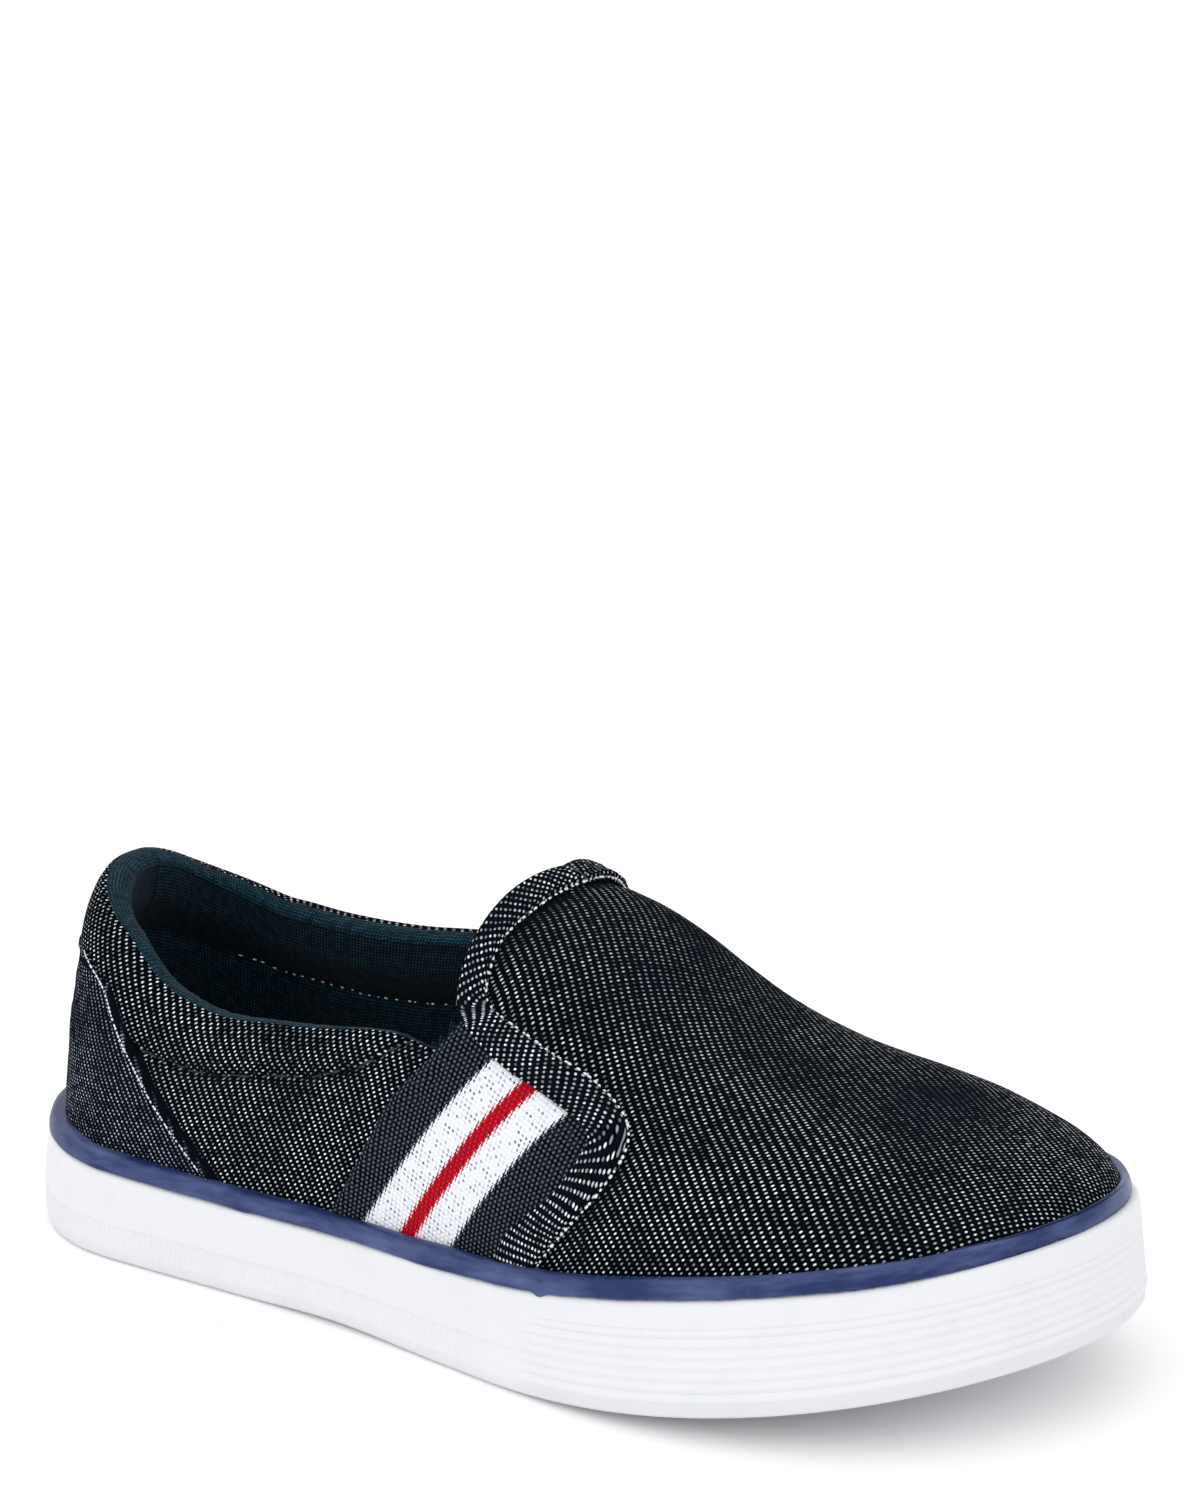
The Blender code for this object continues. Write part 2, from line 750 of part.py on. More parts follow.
def make_throat_binding():
    """Denim strip over the vamp's edge, up one side, round the tab and down the other."""
    rows = np.arange(len(BINDING["seam_angle"]), dtype=float)
    fine = np.linspace(0, rows[-1], 2 * len(rows) - 1)
    grids = {}
    for name in BINDING:
        grids[name] = smooth(fine, rows, BINDING[name])
    foot = surface(grids["seam_station"][:1], 0, -1)[0, 0]
    stripe_top = rim_height(foot) + STRIPE_HEIGHT + 2 * CLEARANCE
    sides = []
    across = np.array([0.0, 0.5, 1.0])
    for side in (-1, 1):
        station = grids["edge_station"][:, None] * (1 - across) + grids["seam_station"][:, None] * across
        degrees = grids["edge_angle"][:, None] * (1 - across) + grids["seam_angle"][:, None] * across
        lowest = angle_at(station[0], side, stripe_top)
        degrees = np.maximum(degrees, lowest + (degrees - degrees[0]) * 0.5)
        sides.append((station, degrees))
    low = [surface(s, d, side, OVERLAY_GAP) for (s, d), side in zip(sides, (-1, 1))]
    high = [surface(s, d, side, OVERLAY_GAP + OVERLAY_WALL) for (s, d), side in zip(sides, (-1, 1))]
    strip_low = join_over_crest(low)
    strip_high = join_over_crest(high)
    return grid_slab("throat_binding", strip_low, strip_high)


def join_over_crest(pair):
    lateral, medial = pair
    middle = (lateral[-1:] + medial[-1:]) / 2
    return np.concatenate([lateral[:-1], middle, medial[-2::-1]])


def grid_slab(name, low, high):
    """Solid between two grids of points with the same layout."""
    rows, columns = low.shape[:2]
    total = rows * columns
    faces = []
    for r in range(rows - 1):
        for c in range(columns - 1):
            a = r * columns + c
            quad = (a, a + 1, a + columns + 1, a + columns)
            faces.append(tuple(total + k for k in quad))
            faces.append(quad[::-1])
    ring = [c for c in range(columns)] + [r * columns + columns - 1 for r in range(1, rows)]
    ring += [(rows - 1) * columns + c for c in range(columns - 2, -1, -1)]
    ring += [r * columns for r in range(rows - 2, 0, -1)]
    for i, start in enumerate(ring):
        end = ring[(i + 1) % len(ring)]
        faces.append((start, end, total + end, total + start))
    points = np.concatenate([low.reshape(-1, 3), high.reshape(-1, 3)])
    return face_outwards(add_mesh(name, points, faces))


def make_heel_counter():
    """Denim patch round the back of the heel, above the stripe."""
    up = np.linspace(0, 1, 9)
    turn = np.linspace(-1, 1, 27)
    reach = look_up(COUNTER, "station", up, "up")
    station = np.abs(turn)[None, :] * reach[:, None]
    side = np.where(turn < 0, -1.0, 1.0)[None, :] * np.ones((len(up), 1))
    foot = surface(station, 0, side)[..., 0]
    bottom = rim_height(foot) + STRIPE_HEIGHT + 2 * CLEARANCE
    top = COUNTER_TOP * COLLAR_HEIGHT
    height = bottom + (top - bottom) * up[:, None]
    degrees = angle_at(station, side, height)
    low = surface(station, degrees, side, OVERLAY_GAP)
    high = surface(station, degrees, side, OVERLAY_GAP + OVERLAY_WALL)
    return grid_slab("heel_counter", low, high)


for old in list(bpy.data.objects):
    bpy.data.objects.remove(old, do_unlink=True)

finish(make_cupsole(), (0.86, 0.87, 0.89), 0.5)
finish(make_foxing_stripe(), (0.03, 0.05, 0.16), 0.3)
finish(make_insole(), (0.03, 0.04, 0.06), 0.9)
finish(make_upper(), (0.02, 0.025, 0.035), 0.9)
finish(make_gore("gore_lateral", -1), (0.75, 0.78, 0.85), 0.8)
finish(make_gore("gore_medial", 1), (0.75, 0.78, 0.85), 0.8)
finish(make_throat_binding(), (0.02, 0.025, 0.035), 0.9)
finish(make_heel_counter(), (0.02, 0.022, 0.03), 0.9)
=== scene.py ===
import math

import bpy
import numpy as np
from mathutils import Matrix, Vector


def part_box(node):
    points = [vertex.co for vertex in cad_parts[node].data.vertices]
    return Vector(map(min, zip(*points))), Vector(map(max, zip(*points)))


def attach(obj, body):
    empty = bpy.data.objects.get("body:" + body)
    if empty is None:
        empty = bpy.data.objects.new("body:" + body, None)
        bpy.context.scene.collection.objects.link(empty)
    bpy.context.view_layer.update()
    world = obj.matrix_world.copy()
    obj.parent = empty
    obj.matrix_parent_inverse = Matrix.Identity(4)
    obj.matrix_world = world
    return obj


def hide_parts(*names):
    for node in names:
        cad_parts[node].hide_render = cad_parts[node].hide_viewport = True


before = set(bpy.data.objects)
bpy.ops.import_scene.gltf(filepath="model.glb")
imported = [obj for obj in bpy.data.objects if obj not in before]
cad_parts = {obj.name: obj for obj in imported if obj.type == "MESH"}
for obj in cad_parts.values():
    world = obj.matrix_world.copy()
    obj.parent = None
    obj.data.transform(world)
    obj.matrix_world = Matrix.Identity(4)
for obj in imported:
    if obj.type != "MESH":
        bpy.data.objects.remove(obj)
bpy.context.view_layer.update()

# Child's slip-on shoe, right foot. Metres, +X to the toe, +Y to the inner side, +Z up.
mm = 0.001
lateral, medial = -1, 1

camera = {
    "azimuth": 34.97,            # degrees, 0 looks along +Y
    "elevation": 18.31,
    "lookAt": (0, 0, 25.96 * mm),
    "distance": 519.2 * mm,
    "lens": 85.87,               # mm on the 36 mm long side
    "shift": (0.0294, 0.248),    # the shoe stands low in the picture
}


def placeCamera():
    turn = math.radians(camera["azimuth"])
    rise = math.radians(camera["elevation"])
    back = Vector((math.sin(turn) * math.cos(rise), -math.cos(turn) * math.cos(rise), math.sin(rise)))
    right = Vector((math.cos(turn), math.sin(turn), 0))
    up = back.cross(right)
    data = bpy.data.cameras.new("camera")
    data.sensor_fit = "AUTO"
    data.sensor_width = 36
    data.lens = camera["lens"]
    data.shift_x, data.shift_y = camera["shift"]
    data.clip_start = 10 * mm
    made = bpy.data.objects.new("camera", data)
    made.matrix_world = Matrix((right, up, back)).transposed().to_4x4()
    made.location = Vector(camera["lookAt"]) + back * camera["distance"]
    bpy.context.scene.collection.objects.link(made)
    bpy.context.scene.camera = made


placeCamera()
print("camera placed")

# The last that every piece is laid on
last = {
    "length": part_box("cupsole")[1][0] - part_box("cupsole")[0][0],
    "ballWidth": 81 * mm,
    "instepHeight": 64.7 * mm,
    "collarHeight": 54.5 * mm,
    "sidewallHeight": 13 * mm,
    "toeSpring": 11.8 * mm,
    "springStart": 0.58,
    "springCurve": 1.6,
    "archLift": 1.2 * mm,
    "archStart": 0.30,
    "archEnd": 0.52,
    "lateralArch": 0.4,
    "toeSwing": 4 * mm,
    "crestSwing": 3 * mm,
    "toeRound": 0.38,
    "toeBluntness": 3.35,
    "heelRound": 0.163,
    "heelBluntness": 2.2,
    "heelFullness": 2.1,
    "toePole": 0.306,
    "heelPole": -0.322,
    "poleSoftness": 0.033,
    "soleHeel": 7 * mm,
    "soleForefoot": 5.5 * mm,
}


def table(columns, rows):
    return {name: np.array([row[i] for row in rows], float) for i, name in enumerate(columns.split())}


# half widths of the sole, shares of the ball width
outline = table("along lateral medial", [
    (0.00, 0.355, 0.345),
    (0.14, 0.385, 0.360),
    (0.28, 0.395, 0.355),
    (0.43, 0.415, 0.375),
    (0.57, 0.465, 0.430),
    (0.69, 0.500, 0.490),
    (0.81, 0.500, 0.500),
    (1.00, 0.460, 0.460),
])
# rim of the sidewall and foot of the upper, in from the outline, shares of the ball width
edge = table("along rim upper", [
    (0.00, 0.012, 0.056),
    (0.10, 0.015, 0.058),
    (0.25, 0.025, 0.061),
    (0.50, 0.030, 0.062),
    (0.80, 0.027, 0.059),
    (1.00, 0.020, 0.050),
])
# rim height above the sprung floor line, shares of the sidewall height
rim = table("along height", [
    (0.00, 1.17),
    (0.20, 1.01),
    (0.42, 0.985),
    (0.55, 1.045),
    (0.62, 1.12),
    (0.72, 1.22),
    (0.80, 1.26),
    (0.90, 1.245),
    (1.00, 1.215),
])
# top line of the last, shares of the instep height
crest = table("along height", [
    (0.00, 1.422),
    (0.20, 1.360),
    (0.35, 1.244),
    (0.44, 1.105),
    (0.505, 0.984),
    (0.56, 0.925),
    (0.64, 0.768),
    (0.72, 0.635),
    (0.82, 0.532),
    (0.90, 0.457),
    (1.00, 0.379),
])
# fullness of the cross sections, 2 is an ellipse
section = table("along lateral medial", [
    (0.00, 1.70, 1.70),
    (0.15, 1.65, 1.60),
    (0.30, 1.80, 1.75),
    (0.50, 2.05, 2.10),
    (0.62, 2.05, 2.20),
    (0.80, 2.30, 2.40),
    (1.00, 2.40, 2.40),
])
# topline, shares of the collar height
collar = table("along lateral medial", [
    (0.000, 1.000, 1.000),
    (0.030, 0.990, 0.955),
    (0.075, 0.968, 0.878),
    (0.100, 0.950, 0.838),
    (0.130, 0.925, 0.803),
    (0.156, 0.884, 0.792),
    (0.182, 0.829, 0.784),
    (0.218, 0.785, 0.780),
    (0.261, 0.763, 0.783),
    (0.304, 0.771, 0.792),
    (0.344, 0.782, 0.806),
    (0.400, 0.811, 0.815),
    (0.441, 0.820, 0.820),
    (0.475, 0.800, 0.810),
])
# strip round the throat, from the foot of the vamp seam to the top of the tab
binding = table("seamStation seamAngle edgeStation edgeAngle", [
    (0.571, 3.5, 0.543, 3.5),
    (0.585, 11.1, 0.557, 11.1),
    (0.600, 19.8, 0.575, 17.7),
    (0.610, 29.2, 0.587, 26.8),
    (0.612, 36.8, 0.590, 33.6),
    (0.606, 42.0, 0.584, 36.0),
    (0.593, 44.8, 0.572, 36.5),
    (0.575, 45.5, 0.555, 36.5),
    (0.558, 44.5, 0.538, 36.3),
    (0.542, 44.1, 0.523, 37.2),
    (0.524, 44.5, 0.509, 39.0),
    (0.511, 45.8, 0.498, 41.3),
    (0.506, 49.0, 0.4935, 45.0),
    (0.504, 54.0, 0.492, 50.0),
    (0.504, 60.0, 0.492, 56.5),
    (0.508, 69.0, 0.494, 66.0),
    (0.511, 79.0, 0.497, 77.0),
    (0.513, 90.0, 0.501, 90.0),
])
# elastic tape: its back and front edges up the side, and its top edge
goreSides = table("up backStation backAngle frontStation frontAngle", [
    (0.00, 0.424, 1.0, 0.541, 1.0),
    (0.30, 0.451, 13.5, 0.557, 11.1),
    (0.55, 0.466, 22.0, 0.575, 17.7),
    (0.80, 0.484, 30.5, 0.587, 26.8),
    (1.00, 0.498, 39.3, 0.589, 33.4),
])
goreTop = table("across Station Angle", [
    (0.00, 0.498, 39.3),
    (0.23, 0.524, 37.0),
    (0.44, 0.544, 36.3),
    (0.54, 0.553, 36.3),
    (0.74, 0.572, 36.0),
    (1.00, 0.589, 33.4),
])
patchTop = 0.81                  # top of the heel patch, share of the collar height
# its front edge
patchFront = table("up station", [
    (0.00, 0.343),
    (0.18, 0.318),
    (0.36, 0.294),
    (0.55, 0.272),
    (0.75, 0.248),
    (0.90, 0.220),
    (1.00, 0.165),
])


def smoothCurve(x, xs, ys):      # natural cubic spline
    x = np.asarray(x, float)
    count = len(xs)
    step = np.diff(xs)
    matrix = np.eye(count)
    right = np.zeros(count)
    for i in range(1, count - 1):
        matrix[i, i - 1:i + 2] = step[i - 1], 2 * (step[i - 1] + step[i]), step[i]
        right[i] = 6 * ((ys[i + 1] - ys[i]) / step[i] - (ys[i] - ys[i - 1]) / step[i - 1])
    bend = np.linalg.solve(matrix, right)
    k = np.clip(np.searchsorted(xs, x) - 1, 0, count - 2)
    after = x - xs[k]
    before = xs[k + 1] - x
    curve = (bend[k] * before**3 + bend[k + 1] * after**3) / (6 * step[k])
    start = (ys[k] / step[k] - bend[k] * step[k] / 6) * before
    end = (ys[k + 1] / step[k] - bend[k + 1] * step[k] / 6) * after
    return curve + start + end


def lookUp(rows, column, value, key="along"):
    return smoothCurve(np.clip(value, rows[key][0], rows[key][-1]), rows[key], rows[column])


def bothSides(rows, side, value, key="along"):
    return np.where(side < 0, lookUp(rows, "lateral", value, key), lookUp(rows, "medial", value, key))


def alongAt(x):
    return x / last["length"] + 0.5


def alongOf(station):            # stations crowd together towards heel and toe
    return 0.5 - 0.5 * np.cos(np.pi * np.asarray(station, float))


def stationAt(along):
    return np.arccos(1 - 2 * np.asarray(along, float)) / np.pi


def soleOutline(station, side):
    along = alongOf(station)
    toe = np.clip((along - 1 + last["toeRound"]) / last["toeRound"], 0, 1)
    heel = np.clip((last["heelRound"] - along) / last["heelRound"], 0, 1)
    toeShare = np.sqrt(np.clip(1 - toe**last["toeBluntness"], 0, 1))
    heelShare = np.clip(1 - heel**last["heelBluntness"], 0, 1)**(1 / last["heelFullness"])
    swing = last["toeSwing"] * np.clip((along - 0.6) / 0.4, 0, 1)**2
    y = side * bothSides(outline, side, along) * last["ballWidth"] * toeShare * heelShare + swing
    return np.stack([(along - 0.5) * last["length"], y], -1)


def wrapped(station, side):      # past heel or toe a station comes back on the other side
    past = (station < 0) | (station > 1)
    inside = np.where(station < 0, -station, np.where(station > 1, 2 - station, station))
    return inside, np.where(past, -side, side)


def insetOutline(station, side, inset):
    station, side = np.broadcast_arrays(np.asarray(station, float), np.asarray(side, float))
    small = 1e-4
    way = soleOutline(*wrapped(station + small, side)) - soleOutline(*wrapped(station - small, side))
    way /= np.linalg.norm(way, axis=-1, keepdims=True)
    outward = side[..., None] * np.stack([-way[..., 1], way[..., 0]], -1)
    return soleOutline(station, side) - outward * np.broadcast_to(inset, station.shape)[..., None]


def edgeInset(station, column):
    return lookUp(edge, column, alongOf(station)) * last["ballWidth"]


def springOf(x):
    share = (alongAt(x) - last["springStart"]) / (1 - last["springStart"])
    return last["toeSpring"] * np.clip(share, 0, 1)**last["springCurve"]


def archShare(x):
    return np.clip((alongAt(x) - last["archStart"]) / (last["archEnd"] - last["archStart"]), 0, 1)


def underside(plan):
    x, y = plan[..., 0], plan[..., 1]
    inner = np.clip(0.5 + y / (0.8 * last["ballWidth"]), 0, 1)
    share = last["lateralArch"] + (1 - last["lateralArch"]) * inner
    return springOf(x) + last["archLift"] * np.sin(np.pi * archShare(x))**2 * share


def rimHeight(x):
    return springOf(x) + last["sidewallHeight"] * lookUp(rim, "height", alongAt(x))


def crestHeight(x):
    return springOf(x) + last["instepHeight"] * lookUp(crest, "height", alongAt(x))


def floorHeight(x):              # top of the outsole inside the cup
    share = archShare(x)
    drop = last["soleForefoot"] - last["soleHeel"]
    return springOf(x) + last["soleHeel"] + drop * share**2 * (3 - 2 * share)


def softRamp(value):
    softness = last["poleSoftness"] * last["length"]
    return softness * np.logaddexp(0, value / softness)


def spineX(x):
    heel = last["heelPole"] * last["length"]
    return heel + softRamp(x - heel) - softRamp(x - last["toePole"] * last["length"])


def lastPoint(station, angle, side):
    station, side = wrapped(station, side)
    outer = insetOutline(station, lateral, edgeInset(station, "upper"))
    inner = insetOutline(station, medial, edgeInset(station, "upper"))
    base = np.where(side[..., None] < 0, outer, inner)
    middle = (outer + inner) / 2
    along = alongAt(middle[..., 0])
    swing = last["crestSwing"] * np.clip(1 - np.abs(along - 0.6) / 0.35, 0, 1)
    spine = np.stack([spineX(middle[..., 0]), middle[..., 1] + swing], -1)
    power = 2 / bothSides(section, side, along)
    plan = spine + (base - spine) * (np.cos(angle)**power)[..., None]
    foot = rimHeight(plan[..., 0])
    z = foot + (crestHeight(plan[..., 0]) - foot) * np.sin(angle)**power
    return np.concatenate([plan, z[..., None]], -1)


def surface(station, degrees, side):     # point and outward normal; 0 degrees is the rim, 90 the crest
    station, degrees, side = np.broadcast_arrays(
        np.asarray(station, float), np.asarray(degrees, float), np.asarray(side, float))
    point = lastPoint(station, np.radians(np.clip(degrees, 0, 90)), side)
    near = np.radians(np.clip(degrees, 0.5, 86))
    small = 2e-3
    forward = lastPoint(station + small, near, side) - lastPoint(station - small, near, side)
    up = lastPoint(station, near + small, side) - lastPoint(station, near - small, side)
    normal = side[..., None] * np.cross(up, forward)
    return point, normal / np.linalg.norm(normal, axis=-1, keepdims=True)


def lifted(station, degrees, side, offset):
    point, normal = surface(station, degrees, side)
    return point + normal * np.broadcast_to(offset, point.shape[:-1])[..., None]


def angleAt(station, side, height):      # degrees at which the form reaches a height
    low = np.zeros(np.shape(station))
    high = np.full(np.shape(station), 85.0)
    for _ in range(24):
        middle = (low + high) / 2
        below = lastPoint(station, np.radians(middle), side)[..., 2] < height
        low = np.where(below, middle, low)
        high = np.where(below, high, middle)
    return (low + high) / 2


def unit(vectors):
    return vectors / np.maximum(np.linalg.norm(vectors, axis=-1, keepdims=True), 1e-12)


def lengthAlong(points, axis=0):         # running length of a line of points
    step = np.linalg.norm(np.diff(points, axis=axis), axis=-1)
    start = np.zeros_like(np.take(step, [0], axis=axis))
    return np.concatenate([start, np.cumsum(step, axis=axis)], axis=axis)


def ease(value):
    value = np.clip(value, 0, 1)
    return value**2 * (3 - 2 * value)


def bell(value, width):                  # 1 at nothing, fading either way
    return np.exp(-(value / width)**2)


def wander(u, v, cell, seed):            # soft random field from -1 to 1 over lengths u and v
    lattice = np.random.default_rng(seed).uniform(-1, 1, (64, 64))
    u, v = np.broadcast_arrays(np.asarray(u, float) / cell, np.asarray(v, float) / cell)
    i, j = np.floor(u).astype(int), np.floor(v).astype(int)
    a, b = ease(u - i), ease(v - j)
    near = lattice[i % 64, j % 64] * (1 - b) + lattice[i % 64, (j + 1) % 64] * b
    far = lattice[(i + 1) % 64, j % 64] * (1 - b) + lattice[(i + 1) % 64, (j + 1) % 64] * b
    return near * (1 - a) + far * a


def nearLine(points, line):              # distance to a line of points, and the length along it there
    flat = points.reshape(-1, 3)
    run = lengthAlong(line)
    gap = np.empty(len(flat))
    place = np.empty(len(flat))
    for start in range(0, len(flat), 4000):
        part = flat[start:start + 4000]
        far = ((part[:, None] - line[None])**2).sum(-1)
        best = far.argmin(1)
        gap[start:start + 4000] = np.sqrt(far[np.arange(len(part)), best])
        place[start:start + 4000] = run[best]
    return gap.reshape(points.shape[:-1]), place.reshape(points.shape[:-1])


def inside(loop, x, y):                  # even-odd test of points in a closed loop
    odd = np.zeros(np.shape(x), bool)
    for (x0, y0), (x1, y1) in zip(loop, loop[1:] + loop[:1]):
        if y0 != y1:
            crosses = (y0 > y) != (y1 > y)
            odd ^= crosses & (x < x0 + (x1 - x0) * (y - y0) / (y1 - y0))
    return odd


def flatPattern(points, plan, rounds=1500, most=36, degree=0):
    # The cloth panel cut flat: a coarse net of the grid is relaxed in the plane until its lengths fit.
    # With a degree, the result is eased to a polynomial of the place in space, as stretched cloth is.
    rows = np.unique(np.linspace(0, points.shape[0] - 1, most).astype(int))
    columns = np.unique(np.linspace(0, points.shape[1] - 1, most).astype(int))
    net = points[np.ix_(rows, columns)]
    flat = plan[np.ix_(rows, columns)].copy()
    whole = slice(None)
    links = []
    for step, share in ((1, 1.0), (4, 0.5)):
        low, high = slice(None, -step), slice(step, None)
        down, across = lengthAlong(net, 0), lengthAlong(net, 1)
        links.append(((low, whole), (high, whole), share, down[step:] - down[:-step]))
        links.append(((whole, low), (whole, high), share, across[:, step:] - across[:, :-step]))
    low, high = slice(None, -1), slice(1, None)
    for a, b in (((low, low), (high, high)), ((high, low), (low, high))):
        links.append((a, b, 0.6, np.linalg.norm(net[b] - net[a], axis=-1)))
    links = [(a, b, share * np.clip(length / np.median(length), 0.001, 1), length)
             for a, b, share, length in links]
    for _ in range(rounds):
        pull = np.zeros_like(flat)
        weight = np.full(flat.shape[:2], 1e-9)
        for a, b, share, length in links:
            way = flat[b] - flat[a]
            now = np.maximum(np.linalg.norm(way, axis=-1), 1e-9)
            push = way * (share * (1 - length / now) / 2)[..., None]
            pull[a] += push
            pull[b] -= push
            weight[a] += share
            weight[b] += share
        flat += 1.6 * pull / weight[..., None]
    if degree:
        sums = range(degree + 1)
        powers = [(a, b, c) for a in sums for b in sums for c in sums if a + b + c <= degree]
        centre, reach = net.reshape(-1, 3).mean(0), np.ptp(net.reshape(-1, 3), axis=0) / 2

        def terms(place):
            x, y, z = ((place.reshape(-1, 3) - centre) / reach).T
            return np.stack([x**a * y**b * z**c for a, b, c in powers], -1)

        down, across = lengthAlong(net, 0), lengthAlong(net, 1)
        size = np.sqrt(np.gradient(down, axis=0) * np.gradient(across, axis=1)).reshape(-1, 1)
        known, *_ = np.linalg.lstsq(terms(net) * size, flat.reshape(-1, 2) * size, rcond=1e-6)
        return (terms(points) @ known).reshape(points.shape[:2] + (2,))
    fine = np.empty(points.shape[:2] + (2,))
    allRows, allColumns = np.arange(points.shape[0]), np.arange(points.shape[1])
    for k in range(2):
        spread = np.stack([smoothCurve(allColumns, columns, row) for row in flat[..., k]])
        fine[..., k] = np.stack([smoothCurve(allRows, rows, line) for line in spread.T]).T
    return fine


def turned(flat, row, column, towards, degrees):
    # Turns a flat pattern so that the weft lies at an angle to the grid's direction at one place.
    way = flat[row + towards[0], column + towards[1]] - flat[row, column]
    turn = -math.atan2(way[1], way[0]) - math.radians(degrees)
    spin = np.array([[math.cos(turn), -math.sin(turn)], [math.sin(turn), math.cos(turn)]])
    return (flat - flat[row, column]) @ spin.T


def gridFaces(rows, columns, closed=False):
    across = columns if closed else columns - 1
    r, c = np.meshgrid(np.arange(rows - 1), np.arange(across), indexing="ij")
    a = r * columns + c
    b = r * columns + (c + 1) % columns
    return np.stack([a, b, b + columns, a + columns], -1).reshape(-1, 4)


def addPiece(name, points, faces, finish, attributes=None, sharp=50):
    mesh = bpy.data.meshes.new(name)
    used = np.unique(faces)
    index = np.zeros(len(points), int)
    index[used] = np.arange(len(used))
    mesh.from_pydata(points[used].tolist(), [], index[faces].tolist())
    for key, values in (attributes or {}).items():
        values = np.asarray(values, float).reshape(len(points), -1)[used]
        if values.shape[1] == 2:             # a place on the cut cloth, in metres
            values = np.pad(values, ((0, 0), (0, 1)))
        kind, field = ("FLOAT", "value") if values.shape[1] == 1 else ("FLOAT_VECTOR", "vector")
        mesh.attributes.new(key, kind, "POINT").data.foreach_set(field, values.ravel())
    mesh.materials.append(finish)
    mesh.shade_smooth()
    mesh.set_sharp_from_angle(angle=math.radians(sharp))
    mesh.validate()
    made = bpy.data.objects.new(name, mesh)
    bpy.context.scene.collection.objects.link(made)
    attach(made, "root")
    return made


def facing(points, faces, centre):       # turns a piece's faces away from a point inside the shoe
    a, b, c = (points[faces[:, k]] for k in range(3))
    away = np.einsum("ij,ij->i", np.cross(b - a, c - a), a - centre)
    return faces if away.sum() > 0 else faces[:, ::-1]


def pairs(u, v):                         # two values of a grid side by side
    return np.stack(np.broadcast_arrays(u, v), -1)


def addGrid(name, grid, finish, node, attributes, inner=None, closed=False, flip=False, keep=None):
    # A piece from a grid of points, in place of one node. Its faces look away from the inner point.
    points = grid.reshape(-1, 3)
    faces = gridFaces(*grid.shape[:2], closed=closed)
    if keep is not None:
        faces = faces[keep]
    if inner:
        faces = facing(points, faces, np.array(inner))
    if flip:
        faces = faces[:, ::-1]
    made = addPiece(name, points, faces, finish, attributes)
    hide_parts(node)
    return made


def outsideLoop(loop, station, degrees):     # which faces of a grid a closed loop leaves
    faces = gridFaces(*station.shape)
    return ~inside(loop, station.reshape(-1)[faces].mean(1), degrees.reshape(-1)[faces].mean(1))


def overToe(start, rows, columns):       # grid over the front of the foot, from outer rim to inner rim
    half = np.linspace(0, 90, columns)
    degrees = np.concatenate([half, half[::-1][1:]])
    side = np.concatenate([np.full(columns, lateral), np.full(columns - 1, medial)])
    return np.broadcast_arrays(np.linspace(start, 1, rows)[:, None], degrees[None], side[None])


# Materials

def linear(code):                        # sRGB hex to linear colour
    parts = [int(code[i:i + 2], 16) / 255 for i in (1, 3, 5)]
    return tuple(p / 12.92 if p <= 0.04045 else ((p + 0.055) / 1.055)**2.4 for p in parts) + (1,)


def add(tree, kind, links=None, out=0, **settings):
    node = tree.nodes.new("ShaderNode" + kind)
    for key, value in settings.items():
        setattr(node, key, value)
    for socket, value in (links or {}).items():
        if isinstance(value, bpy.types.NodeSocket):
            tree.links.new(value, node.inputs[socket])
        else:
            node.inputs[socket].default_value = value
    return node.outputs[out]


def newMaterial(name, values):
    made = bpy.data.materials.new(name)
    made.use_nodes = True
    shader = made.node_tree.nodes["Principled BSDF"]
    for key, value in values.items():
        shader.inputs[key].default_value = value
    return made, made.node_tree, shader


def mixed(tree, share, first, second):
    links = {"Factor": share, 6: first, 7: second}
    return add(tree, "Mix", links, 2, data_type="RGBA")


def finished(tree, shader, colour, height, strength, depth):     # colour and relief go to the shader
    tree.links.new(colour, shader.inputs["Base Color"])
    bump = add(tree, "Bump", {"Height": height, "Strength": strength, "Distance": depth})
    tree.links.new(bump, shader.inputs["Normal"])


def crossings(tree, place, first, second):
    # Numbers the threads along two directions, and gives each nearest crossing and the way from it.
    numbers = [add(tree, "VectorMath", {0: place, 1: way + (0,)}, 1, operation="DOT_PRODUCT")
               for way in (first, second)]
    grid = add(tree, "CombineXYZ", dict(enumerate(numbers)))
    cell = add(tree, "VectorMath", {0: grid, 1: (0.5, 0.5, 0)}, operation="ADD")
    cell = add(tree, "VectorMath", {0: cell}, operation="FLOOR")
    return numbers[0], grid, cell, add(tree, "VectorMath", {0: grid, 1: cell}, operation="SUBTRACT")


def fromCrossing(tree, part, right, up):     # the way along the first direction, and the whole distance
    ways = [add(tree, "VectorMath", {0: part, 1: way + (0,)}, 1, operation="DOT_PRODUCT")
            for way in (right, up)]
    both = add(tree, "CombineXYZ", dict(enumerate(ways)))
    return ways[0], add(tree, "VectorMath", {0: both}, 1, operation="LENGTH")


